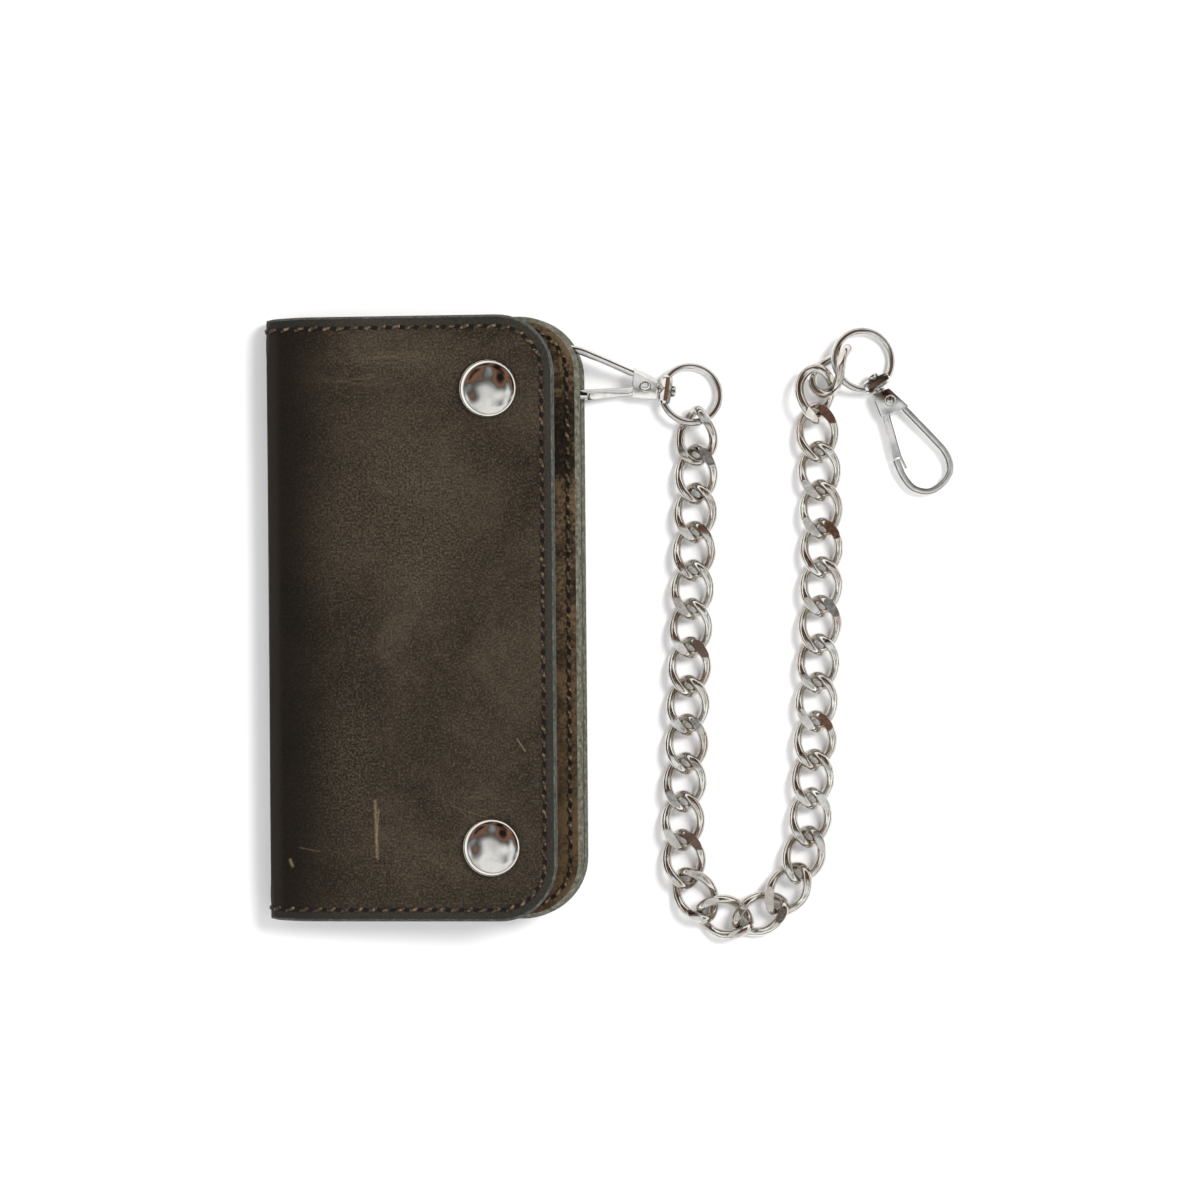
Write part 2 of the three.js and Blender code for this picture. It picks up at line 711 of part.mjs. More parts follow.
// The last links climb and roll over to the far ring, each one's middle a step from the lying links' end.
const lastLinks = [
  { step: [-0.1, 5.7, 2.27], yaw: 92, pitch: 9.1, roll: 22.3 },
  { step: [4.78, 12.78, 3.35], yaw: 53.2, pitch: 9.5, roll: -56.1 },
];
const lyingLinks = linkCount - lastLinks.length;
for (let i = 0; i < lyingLinks; i++) {
  const along = pivots[i + 1].clone().sub(pivots[i]).normalize();
  const middle = pivots[i].clone().add(pivots[i + 1]).multiplyScalar(0.5);
  addLink(i + 1, middle, along, startRoll[i] ?? 0);
}

const lastMiddle = new THREE.Vector3();
lastLinks.forEach(({ step, yaw, pitch, roll }, i) => {
  lastMiddle.fromArray(step).multiplyScalar(chainScale).add(pivots[lyingLinks]);
  const along = new THREE.Vector3(1, 0, 0).applyEuler(new THREE.Euler(0, -rad(pitch), rad(yaw), "ZYX"));
  addLink(lyingLinks + i + 1, lastMiddle, along, roll);
});

// ---- the far hook, whose ring the last link goes through ----
const farSeat = 0.722 * linkWireRadius; // from the last link's middle to the far ring's wire
const farSide = rad(17.2); // direction from the last link's middle to the ring's centre
// The ring leans on the last link, so a thicker chain lifts its near side further.
const farRingRise = 0.2072 * linkPitch;
const farRingRoll = -THREE.MathUtils.radToDeg(Math.asin(farRingRise / farRingRadius));
const farRingZ = farRingRise + ringWireRadius + clearance / 2;
const farRingCentre = new THREE.Vector3(
  lastMiddle.x + (farRingRadius + farSeat) * Math.cos(farSide),
  lastMiddle.y + (farRingRadius + farSeat) * Math.sin(farSide),
  farRingZ,
);
const farRingCentreX = ringBossInset - farRingRadius;
const farPitch = -Math.asin((farRingZ - cheekHalf - clearance) / (hookNoseX - farRingCentreX));
const farHook = snapHook("far", farRingRadius, farHookYaw, farPitch, 0, farRingRoll);
const farBossFromRing = new THREE.Vector3(-farRingCentreX, 0, 0).applyEuler(farHook.rotation);
farHook.position.copy(farRingCentre).add(farBossFromRing);

const chainWallet = new THREE.Group();
chainWallet.add(wallet, nearHook, chain, farHook);

export default chainWallet;
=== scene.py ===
import json
import math

import bpy
import bmesh
import numpy as np
from mathutils import Matrix, Vector
from mathutils.geometry import delaunay_2d_cdt


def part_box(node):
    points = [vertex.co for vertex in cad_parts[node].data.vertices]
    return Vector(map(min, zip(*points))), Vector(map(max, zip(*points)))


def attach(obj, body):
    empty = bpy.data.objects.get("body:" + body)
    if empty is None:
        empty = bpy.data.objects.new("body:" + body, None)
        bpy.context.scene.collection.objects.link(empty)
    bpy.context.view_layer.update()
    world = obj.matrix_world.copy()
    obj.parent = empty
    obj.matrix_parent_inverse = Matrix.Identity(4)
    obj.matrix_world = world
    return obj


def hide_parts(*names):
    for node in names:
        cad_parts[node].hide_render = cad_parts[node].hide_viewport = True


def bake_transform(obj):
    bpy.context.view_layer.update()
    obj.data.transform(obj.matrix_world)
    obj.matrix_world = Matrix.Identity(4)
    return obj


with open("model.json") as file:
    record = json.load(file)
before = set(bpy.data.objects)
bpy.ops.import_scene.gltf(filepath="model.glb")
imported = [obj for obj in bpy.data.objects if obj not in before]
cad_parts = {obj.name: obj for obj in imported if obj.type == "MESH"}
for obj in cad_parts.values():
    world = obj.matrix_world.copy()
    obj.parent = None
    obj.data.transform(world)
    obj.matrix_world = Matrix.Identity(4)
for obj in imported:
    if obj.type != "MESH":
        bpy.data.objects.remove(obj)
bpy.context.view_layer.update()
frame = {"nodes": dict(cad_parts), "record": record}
joints = {joint["name"]: joint for joint in frame["record"]["behaviour"]["joints"]}
mm = 0.001  # shapes are worked out in millimetres and scaled once, when a mesh is made


# ---- where things are, taken from the frame ----
def nodePoints(node):
    mesh = frame["nodes"][node].data
    points = np.empty(len(mesh.vertices) * 3)
    mesh.vertices.foreach_get("co", points)
    return points.reshape(-1, 3) / mm


def nodeBox(node):
    low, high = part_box(node)
    return Vector(low) / mm, Vector(high) / mm


backLow, backHigh = nodeBox("back_cover")
spineLow, spineHigh = nodeBox("spine")
layerGap = 0.3  # the clearance between touching layers
wedge = math.radians(90 - joints["flap_fold"]["range_deg"][1])  # tilt of the layers above the bill pocket
layerFrame = Matrix.Translation((spineLow.x, 0, backHigh.z + layerGap)) @ Matrix.Rotation(-wedge, 4, "Y")
toLayer = np.array(layerFrame.inverted())


def layerBox(node):
    points = nodePoints(node) @ toLayer[:3, :3].T + toLayer[:3, 3]
    return Vector(points.min(axis=0)), Vector(points.max(axis=0))


def hookFrame(side):
    turn = joints["hook_" + side + "_swivel"]
    along = Vector(turn["axis"]).normalized()
    flat = Vector(joints["gate_" + side + "_open"]["axis"]).normalized()
    made = Matrix((along, flat.cross(along), flat)).transposed().to_4x4()
    made.translation = Vector(turn["pos_m"]) / mm
    return made


# The axes of a flat, longish node, from the spread of its points: x across, y along, z through.
def spreadFrame(node):
    points = nodePoints(node)
    middle = (points.min(axis=0) + points.max(axis=0)) / 2
    axes = np.linalg.eigh(np.cov((points - points.mean(axis=0)).T))[1].T
    along, through = Vector(axes[2]), Vector(axes[0])
    if through.z < 0:
        through.negate()
    made = Matrix((along.cross(through), along, through)).transposed().to_4x4()
    made.translation = Vector(middle)
    local = np.array(made.inverted())
    held = points @ local[:3, :3].T + local[:3, 3]
    made.translation = made @ Vector((held.min(axis=0) + held.max(axis=0)) / 2)
    return made


flapLow, flapHigh = layerBox("front_cover")
flapCorner, backCorner = 17, 18  # radii of the rounded corners

# ---- materials ----
def linear(hexColour):
    parts = [int(hexColour[i : i + 2], 16) / 255 for i in (1, 3, 5)]
    return [p / 12.92 if p < 0.04045 else ((p + 0.055) / 1.055) ** 2.4 for p in parts] + [1]


def setStops(elements, stops):
    while len(elements) < len(stops):
        elements.new(0.5)
    for element, (place, colour) in zip(elements, stops):
        element.position = place
        element.color = linear(colour)


# Adds a node: settings are its properties, its unlinked inputs or a ramp's stops. Links are what feeds its other
# inputs: a socket, or a node, which gives its first output in use.
def addNode(tree, kind, settings=None, links=None):
    made = tree.nodes.new("ShaderNode" + kind)
    for name, value in (settings or {}).items():
        if name == "stops":
            setStops(made.color_ramp.elements, value)
        elif isinstance(name, str) and name in made.bl_rna.properties:
            setattr(made, name, value)
        else:
            made.inputs[name].default_value = value
    for name, source in (links or {}).items():
        if isinstance(source, bpy.types.Node):
            source = next(socket for socket in source.outputs if socket.enabled)
        tree.links.new(source, made.inputs[name])
    return made


# Settings that stretch a range of values onto 0 to 1, or onto low to high.
def stretch(start, end, low=0, high=1, soft=False):
    made = {"From Min": start, "From Max": end, "To Min": low, "To Max": high}
    return {"interpolation_type": "SMOOTHSTEP", **made} if soft else made


def newTree(name):
    material = bpy.data.materials.new(name)
    material.use_nodes = True
    material.node_tree.nodes.clear()
    return material, material.node_tree


def finished(material, settings, links):
    shader = addNode(material.node_tree, "BsdfPrincipled", settings, links)
    addNode(material.node_tree, "OutputMaterial", links={"Surface": shader})
    return material


# Noises by title, each from its width in millimetres and its other settings.
def addNoises(tree, noises, place):
    return {
        title: addNode(tree, "TexNoise", {"Scale": 1 / mm / width, **settings}, {"Vector": place})
        for title, (width, settings) in noises.items()
    }


# A soft round patch on the flat leather, from 1 at its middle to 0 at its edge.
def patchMask(tree, flat, wobble, centre, size):
    middle = (*[c * mm for c in centre], 0)
    away = addNode(tree, "VectorMath", {"operation": "SUBTRACT", 1: middle}, {0: flat})
    grown = (1 / size[0] / mm, 1 / size[1] / mm, 0)
    scaled = addNode(tree, "VectorMath", {"operation": "MULTIPLY", 1: grown}, {0: away})
    length = addNode(tree, "VectorMath", {"operation": "LENGTH"}, {0: scaled})
    ragged = addNode(tree, "Math", {"operation": "ADD"}, {0: length, 1: wobble})
    return addNode(tree, "MapRange", stretch(1.0, 0.1, soft=True), {"Value": ragged})


pullUpLook = {
    "dark": "#1b1610",
    "mid": "#302921",
    "light": "#3e362d",
    "worn": "#5e5444",
    # painted shade: the dark band beside the rounded spine
    "spinePaintedShade": "#100c08",
    "rim": "#2b2b28",
    "scratch": "#84755a",
    "specular": 0.1,
    "roughness": 0.56,
    "grainWidth": 1.1,
    "noises": {
        "mottle": (26, {"Detail": 5, "Roughness": 0.62, "Distortion": 0.6}),
        "fuzz": (0.65, {"Detail": 3, "Roughness": 0.7}),  # coarser than the real nap, which would not show
        "speck": (2.4, {"Detail": 4, "Roughness": 0.75}),
        "pore": (0.6, {"Detail": 2}),
        "waves": (9, {"Detail": 2, "Roughness": 0.4}),
    },
    "streaks": {"streaks": (0.9, {"Detail": 3, "Roughness": 0.7})},
    "wornPatches": [  # middle and half size, from the spine and from the middle of its length, and strength
        ((46, 36), (30, 40), 0.34),
        ((17, 22), (14, 26), 0.3),
        ((46, 12), (14, 14), 0.25),
        ((44, 76), (34, 8), 0.22),
        ((24, -44), (16, 30), 0.3),
        ((50, -72), (34, 12), 0.2),
    ],
    "darkPatches": [
        ((20, -34), (26, 62), 0.62),
        ((48, -30), (30, 34), 0.38),
        ((66, 52), (14, 14), 0.35),
        ((30, 62), (12, 12), 0.22),
        ((26, -4), (18, 14), 0.35),
    ],
    "rubs": [((38, 77), (24, 3.2), 0.5), ((30, 70), (20, 3), 0.3), ((62, -52), (14, 3), 0.25)],
    "scratches": [  # end, end, width, strength
        ((32.8, -53.5), (33.3, -70.2), 0.75, 0.6),
        ((33.9, -56.0), (33.0, -66.0), 0.4, 0.5),
        ((7.4, -71.0), (8.0, -72.6), 0.8, 0.7),
        ((75.0, -35.5), (77.4, -39.0), 0.4, 0.6),
        ((10.2, -67.2), (16.5, -68.4), 0.3, 0.25),
        ((55.2, -55.0), (66.0, -58.5), 0.28, 0.22),
        ((58.0, -56.5), (63.5, -60.5), 0.25, 0.2),
        ((30.0, 42.5), (38.5, 37.0), 0.3, 0.18),
        ((44.0, 12.0), (47.5, 2.5), 0.25, 0.16),
    ],
}


# From 1 at the flap's edge to 0 inside its line of stitches.
def flapRim(tree, apart):
    beyondX = addNode(
        tree, "Math", {"operation": "SUBTRACT", 1: (flapHigh.x - flapCorner) * mm}, {0: apart.outputs["X"]}
    )
    heightY = addNode(tree, "Math", {"operation": "ABSOLUTE"}, {0: apart.outputs["Y"]})
    beyondY = addNode(tree, "Math", {"operation": "SUBTRACT", 1: (flapHigh.y - flapCorner) * mm}, {0: heightY})
    corner = addNode(tree, "CombineXYZ", links={0: beyondX, 1: beyondY})
    outside = addNode(tree, "VectorMath", {"operation": "MAXIMUM", 1: (0, 0, 0)}, {0: corner})
    reach = addNode(tree, "VectorMath", {"operation": "LENGTH"}, {0: outside})
    rim = stretch((flapCorner - 3.3) * mm, (flapCorner - 2.4) * mm, soft=True)
    return addNode(tree, "MapRange", rim, {"Value": reach})


# Pull-up leather, waxed and brushed: it gives a smoky dark surface that goes pale where it rubs. Beside the spine it
# carries a band of painted shade, and on the spine's curve a painted sheen.
def pullUpLeather(name, look):
    material, tree = newTree(name)
    flat = addNode(tree, "UVMap", {"uv_map": "flat"})
    noise = addNoises(tree, look["noises"], flat)
    drawn = addNode(tree, "Mapping", {"Scale": (0.12, 1, 1)}, {"Vector": flat})
    noise.update(addNoises(tree, look["streaks"], drawn))
    stops = [(0.3, look["dark"]), (0.5, look["mid"]), (0.72, look["light"])]
    colour = addNode(tree, "ValToRGB", {"stops": stops}, {"Fac": noise["mottle"]})

    def tinted(base, mask, strength, tint):
        factor = addNode(tree, "Math", {"operation": "MULTIPLY", 1: strength}, {0: mask})
        return addNode(tree, "Mix", {"data_type": "RGBA", 7: linear(look[tint])}, {0: factor, 6: base})

    wobble = addNode(tree, "MapRange", stretch(0.3, 0.7, -0.32, 0.32), {"Value": noise["mottle"]})
    fuzzMask = addNode(tree, "MapRange", stretch(0.38, 0.66), {"Value": noise["fuzz"]})
    streakMask = addNode(tree, "MapRange", stretch(0.42, 0.62), {"Value": noise["streaks"]})
    # worn fibres show as a fine pale fuzz, and dragged ones as streaks, so these break their patches up
    for kind, tint, pattern in (
        ("darkPatches", "dark", None),
        ("wornPatches", "worn", fuzzMask),
        ("rubs", "worn", streakMask),
    ):
        for centre, size, strength in look[kind]:
            mask = patchMask(tree, flat, wobble, centre, size)
            if pattern:
                mask = addNode(tree, "Math", {"operation": "MULTIPLY"}, {0: mask, 1: pattern})
            colour = tinted(colour, mask, strength, tint)
    for title, end, strength, tint in (
        ("speck", 0.7, 0.18, "worn"),
        ("speck", 0.3, 0.3, "dark"),
        ("fuzz", 0.68, 0.46, "worn"),
        ("fuzz", 0.32, 0.66, "dark"),
    ):
        mask = addNode(tree, "MapRange", stretch(0.5, end), {"Value": noise[title]})
        colour = tinted(colour, mask, strength, tint)
    # painted shade: a dark band where the leather bends round the spine; painted sheen: the outermost strip, on the
    # spine's curve, is brought back toward the mid tone
    apart = addNode(tree, "SeparateXYZ", links={0: flat})
    for start, end, strength, tint in ((28, 6.5, 0.86, "spinePaintedShade"), (6, 3.2, 0.4, "mid")):
        bend = stretch(start * mm, end * mm, soft=True)
        mask = addNode(tree, "MapRange", bend, {"Value": apart.outputs["X"]})
        colour = tinted(colour, mask, strength, tint)
    colour = tinted(colour, flapRim(tree, apart), 0.6, "rim")  # burnished to a cool grey beyond the stitches
    patchy = addNode(tree, "Math", {"operation": "MULTIPLY_ADD", 1: 0.6, 2: 0.5}, {0: fuzzMask})
    for start, end, width, strength in look["scratches"]:
        line = Vector(end) - Vector(start)
        direction = (*line.normalized(), 0)
        corner = (start[0] * mm, start[1] * mm, 0)
        away = addNode(tree, "VectorMath", {"operation": "SUBTRACT", 1: corner}, {0: flat})
        along = addNode(tree, "VectorMath", {"operation": "DOT_PRODUCT", 1: direction}, {0: away})
        held = addNode(tree, "Clamp", {"Max": line.length * mm}, {"Value": along})
        foot = addNode(tree, "VectorMath", {"operation": "SCALE", 0: direction}, {"Scale": held})
        gap = addNode(tree, "VectorMath", {"operation": "DISTANCE"}, {0: away, 1: foot})
        mask = addNode(tree, "MapRange", stretch(width * mm, 0, soft=True), {"Value": gap})
        rough = addNode(tree, "Math", {"operation": "MULTIPLY"}, {0: mask, 1: patchy})
        colour = tinted(colour, rough, strength, "scratch")
    cells = {"feature": "SMOOTH_F1", "Scale": 1 / mm / look["grainWidth"], "Smoothness": 0.7}
    pores = addNode(tree, "TexVoronoi", cells, {"Vector": flat})
    grain = addNode(tree, "Math", {"operation": "MULTIPLY_ADD", 1: 0.5}, {0: pores, 2: noise["pore"]})
    height = addNode(tree, "Math", {"operation": "MULTIPLY_ADD", 1: 2.2}, {0: noise["waves"], 2: grain})
    bump = addNode(tree, "Bump", {"Strength": 0.55, "Distance": 0.12 * mm}, {"Height": height})
    gloss = stretch(0.3, 0.7, look["roughness"] - 0.08, look["roughness"] + 0.12)
    roughness = addNode(tree, "MapRange", gloss, {"Value": noise["mottle"]})
    settings = {"IOR": 1.5, "Specular IOR Level": look["specular"]}
    return finished(material, settings, {"Base Color": colour, "Normal": bump, "Roughness": roughness})


# Nubuck, sanded on its grain side: matt and velvety, with a pale nap that lies in patches.
def nubuck(name, dark, mid, light, napWidth):
    material, tree = newTree(name)
    flat = addNode(tree, "UVMap", {"uv_map": "flat"})
    widths = {
        "patches": (16, {"Detail": 4, "Roughness": 0.6}),
        "nap": (napWidth, {"Detail": 3, "Roughness": 0.75}),
    }
    noise = addNoises(tree, widths, flat)
    both = addNode(tree, "Math", {"operation": "MULTIPLY_ADD", 1: 0.7}, {0: noise["nap"], 2: noise["patches"]})
    ramp = addNode(tree, "ValToRGB", {"stops": [(0.7, dark), (0.84, mid), (0.98, light)]}, {"Fac": both})
    # the leather is browner toward its foot
    apart = addNode(tree, "SeparateXYZ", links={0: flat})
    toFoot = stretch(30 * mm, -60 * mm, 0, 0.5, soft=True)
    foot = addNode(tree, "MapRange", toFoot, {"Value": apart.outputs["Y"]})
    warm = addNode(tree, "Mix", {"data_type": "RGBA", 7: linear("#3d2f1f")}, {0: foot, 6: ramp})
    bump = addNode(tree, "Bump", {"Strength": 0.6, "Distance": 0.15 * mm}, {"Height": noise["nap"]})
    settings = {"Roughness": 0.85, "Specular IOR Level": 0.12, "Sheen Weight": 0.04, "Sheen Roughness": 0.5}
    return finished(material, settings, {"Base Color": warm, "Normal": bump})


# A finish whose tone, and where it says so whose bump and gloss, follow noises in the object's own space.
def toned(name, look):
    material, tree = newTree(name)
    place = addNode(tree, "TexCoord").outputs["Object"]
    if "squeezed" in look:
        place = addNode(tree, "Mapping", {"Scale": look["squeezed"]}, {"Vector": place})
    noise = addNoises(tree, look["noises"], place)
    links = {"Base Color": addNode(tree, "ValToRGB", {"stops": look["stops"]}, {"Fac": noise["tone"]})}
    if "bump" in look:
        title, strength, depth = look["bump"]
        settings = {"Strength": strength, "Distance": depth * mm}
        links["Normal"] = addNode(tree, "Bump", settings, {"Height": noise[title]})
    if "gloss" in look:
        gloss = stretch(0.35, 0.7, *look["gloss"])
        links["Roughness"] = addNode(tree, "MapRange", gloss, {"Value": noise["rubs"]})
    return finished(material, look["shader"], links)


# The cut edge of the leather, bevelled by the knife: pale grey-green fibres in thin layers.
def cutEdge(name, dark, mid, light):
    look = {
        "squeezed": (1, 1, 4),
        "noises": {"tone": (1.6, {"Detail": 4, "Roughness": 0.7})},
        "stops": [(0.3, dark), (0.52, mid), (0.75, light)],
        "bump": ("tone", 0.5, 0.1),
        "shader": {"Roughness": 0.7, "Specular IOR Level": 0.2},
    }
    return toned(name, look)


# Waxed polyester thread, twisted from two strands: brown with a dull shine on each strand. The pale tan stop of its
# ramp paints small highlights in spots.
threadLook = {
    "noises": {"tone": (1.1, {"Detail": 3}), "fibres": (0.25, {"Detail": 2})},
    # the last stop, a pale tan, is painted highlight
    "stops": [(0.36, "#17100a"), (0.52, "#3c2e20"), (0.72, "#7c684f")],
    "bump": ("fibres", 0.4, 0.05),
    "shader": {"Roughness": 0.55},
}
# The needle's hole: a shallow dent with a slightly raised rim, coloured near black all over: painted shade for the
# hole where the thread goes into the leather.
holeShadeLook = {
    "noises": {"tone": (0.8, {"Detail": 2})},
    "stops": [(0.3, "#070504"), (0.7, "#120d09")],
    "shader": {"Roughness": 0.9},
}
# Drawn spring wire: darker than the plating, with marks along it.
springLook = {
    "noises": {"tone": (0.3, {"Detail": 3})},
    "stops": [(0.3, "#6b6a68"), (0.7, "#9a9996")],
    "shader": {"Metallic": 1, "Roughness": 0.35},
}


# Nickel plate over a polished base: a warm grey mirror, a little wavy, with fine rub marks.
def nickel(name, colours, roughness, waveWidth, waveDepth, rubStrength):
    look = {
        "noises": {
            "tone": (7, {"Detail": 4, "Roughness": 0.6}),
            "rubs": (0.5, {"Detail": 3, "Roughness": 0.8}),
            "waves": (waveWidth, {"Detail": 2}),
        },
        "stops": list(zip((0.38, 0.5, 0.62), colours)),
        "bump": ("waves", 1.0, waveDepth),
        "gloss": (roughness * (1 - rubStrength / 2), roughness * (1 + rubStrength)),
        "shader": {"Metallic": 1},
    }
    return toned(name, look)


finishes = {
    "cover": pullUpLeather("pull_up_leather", pullUpLook),
    "inner": nubuck("nubuck_leather", "#17130e", "#2e261b", "#5a4936", 1.2),
    "lining": nubuck("suede_lining", "#26221a", "#40392b", "#5c523f", 0.9),
    "edge": cutEdge("burnished_cut_edge", "#282a27", "#474a46", "#696d69"),
    "rawEdge": cutEdge("raw_cut_edge", "#33332b", "#5e5e52", "#85847a"),
    "thread": toned("waxed_thread", threadLook),
    "hole": toned("needle_hole_painted_shade", holeShadeLook),
    "cap": nickel("polished_nickel_cap", ("#c9c5bd", "#d5d1ca", "#dcd9d2"), 0.06, 5, 0.03, 0.35),
    "link": nickel("filed_nickel_link", ("#bab0a8", "#c9c5bd", "#dad8d3"), 0.1, 1.6, 0.03, 0.6),
    "hook": nickel("cast_nickel_hook", ("#c0bfbc", "#cfcdc8", "#dad8d3"), 0.1, 2.4, 0.025, 0.5),
    "spring": toned("drawn_spring_wire", springLook),
}
print("materials:", ", ".join(m.name for m in finishes.values()))


# ---- making meshes ----
def meshObject(name, points, faces, materials, faceFinish=None, flat=None, smoothAngle=None):
    mesh = bpy.data.meshes.new(name)
    mesh.from_pydata([Vector(p) * mm for p in points], [], faces)
    for material in materials:
        mesh.materials.append(material)
    if faceFinish is not None:
        mesh.polygons.foreach_set("material_index", faceFinish)
    if flat is not None:
        layer = mesh.uv_layers.new(name="flat")
        for loop in mesh.loops:
            u, v = flat[loop.vertex_index]
            layer.data[loop.index].uv = (u * mm, v * mm)
    tidy = bmesh.new()
    tidy.from_mesh(mesh)
    bmesh.ops.recalc_face_normals(tidy, faces=tidy.faces)
    tidy.to_mesh(mesh)
    tidy.free()
    mesh.shade_smooth()
    if smoothAngle:
        mesh.set_sharp_from_angle(angle=math.radians(smoothAngle))
    made = bpy.data.objects.new(name, mesh)
    bpy.context.scene.collection.objects.link(made)
    return made


# What a piece moves with and the frame's nodes that it stands for; the finish slot is not used.
def belongs(piece, body, slot, *nodes):
    if body:
        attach(piece, body)
    if nodes:
        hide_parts(*nodes)


def inMetres(place):
    made = place.copy()
    made.translation = place.translation * mm
    return made


# A closed turned shape about z: profile points are (radius, height) from its lower middle to its upper middle.
def turned(profile, segments=64, centre=(0, 0)):
    points, faces = [], []
    rings = []
    for radius, height in profile:
        if radius < 1e-6:
            rings.append([len(points)])
            points.append((centre[0], centre[1], height))
            continue
        rings.append(list(range(len(points), len(points) + segments)))
        for i in range(segments):
            angle = 2 * math.pi * i / segments
            points.append((centre[0] + radius * math.cos(angle), centre[1] + radius * math.sin(angle), height))
    for a, b in zip(rings, rings[1:]):
        for i in range(segments):
            j = (i + 1) % segments
            if len(a) == 1 and len(b) == 1:
                continue
            if len(a) == 1:
                faces.append((a[0], b[j], b[i]))
            elif len(b) == 1:
                faces.append((a[i], a[j], b[0]))
            else:
                faces.append((a[i], a[j], b[j], b[i]))
    return points, faces


# A section, the same all along or given by a function, swept along stations: a middle and the two axes of each.
def swept(stations, section, closed=False):
    points, faces = [], []
    for i, (middle, sideways, up) in enumerate(stations):
        ring = section(i) if callable(section) else section
        points += [middle + sideways * a + up * b for a, b in ring]
    count, steps = len(ring), len(stations)
    for i in range(steps if closed else steps - 1):
        for k in range(count):
            after, ahead = (k + 1) % count, (i + 1) % steps
            faces.append((i * count + k, i * count + after, ahead * count + after, ahead * count + k))
    if not closed:
        faces += [tuple(reversed(range(count))), tuple(range((steps - 1) * count, steps * count))]
    return points, faces


def circle(radius, sides):
    angles = [2 * math.pi * i / sides for i in range(sides)]
    return [(radius * math.cos(angle), radius * math.sin(angle)) for angle in angles]


def joined(*parts):
    points, faces = [], []
    for morePoints, moreFaces in parts:
        start = len(points)
        points += [Vector(p) for p in morePoints]
        faces += [tuple(i + start for i in face) for face in moreFaces]
    return points, faces


def moved(part, matrix):
    return [matrix @ Vector(p) for p in part[0]], part[1]


# A smooth curve through points, as that many points and its directions.
def smoothCurve(knots, steps, closed=False):
    knots = [Vector(k) for k in knots]
    count = len(knots)
    spans = count if closed else count - 1
    made = []
    for i in range(steps if closed else steps + 1):
        t = i / steps * spans
        k = min(int(t), spans - 1)
        f = t - k
        if closed:
            a, b, c, d = (knots[(k + j) % count] for j in (-1, 0, 1, 2))
        else:
            b, c = knots[k], knots[k + 1]
            a = knots[k - 1] if k else b * 2 - c
            d = knots[k + 2] if k + 2 < count else c * 2 - b
        place = (b * 2 + (c - a) * f + (a * 2 - b * 5 + c * 4 - d) * f**2 + (b * 3 - a - c * 3 + d) * f**3) / 2
        slope = ((c - a) + (a * 2 - b * 5 + c * 4 - d) * 2 * f + (b * 3 - a - c * 3 + d) * 3 * f**2) / 2
        made.append((place, slope.normalized()))
    return made


# Stations for a wire that lies in a plane, whose normal is z.
def flatStations(curve):
    up = Vector((0, 0, 1))
    return [(place, slope.cross(up).normalized(), up) for place, slope in curve]


def smoothStep(value, low, high):
    t = min(max((value - low) / (high - low), 0), 1)
    return t * t * (3 - 2 * t)


# ---- sheets of leather ----
def endSteps(shape):
    return max(int(shape["half"] * 2 / 3), 2)


# The outline of a piece, drawn in by an inset: round corners at its right, square ones at its left.
def outlineAt(shape, inset):
    left = shape["left"] if shape.get("seam") else shape["left"] + inset
    right = shape["right"] - inset
    half = shape["half"] - inset
    radius = max(shape["radius"] - inset, 0.4)
    longSteps = max(int((shape["right"] - shape["left"]) / 3), 2)
    cornerSteps, downSteps = 14, endSteps(shape)
    made = []
    for i in range(longSteps):
        made.append((left + (right - radius - left) * i / longSteps, -half))
    for i in range(cornerSteps):
        angle = -math.pi / 2 + math.pi / 2 * i / cornerSteps
        made.append((right - radius + radius * math.cos(angle), radius - half + radius * math.sin(angle)))
    for i in range(downSteps):
        made.append((right, (radius - half) + (2 * half - 2 * radius) * i / downSteps))
    for i in range(cornerSteps):
        angle = math.pi / 2 * i / cornerSteps
        made.append((right - radius + radius * math.cos(angle), half - radius + radius * math.sin(angle)))
    for i in range(longSteps):
        made.append((right - radius - (right - radius - left) * i / longSteps, half))
    for i in range(downSteps):
        made.append((left, half - 2 * half * i / downSteps))
    return made


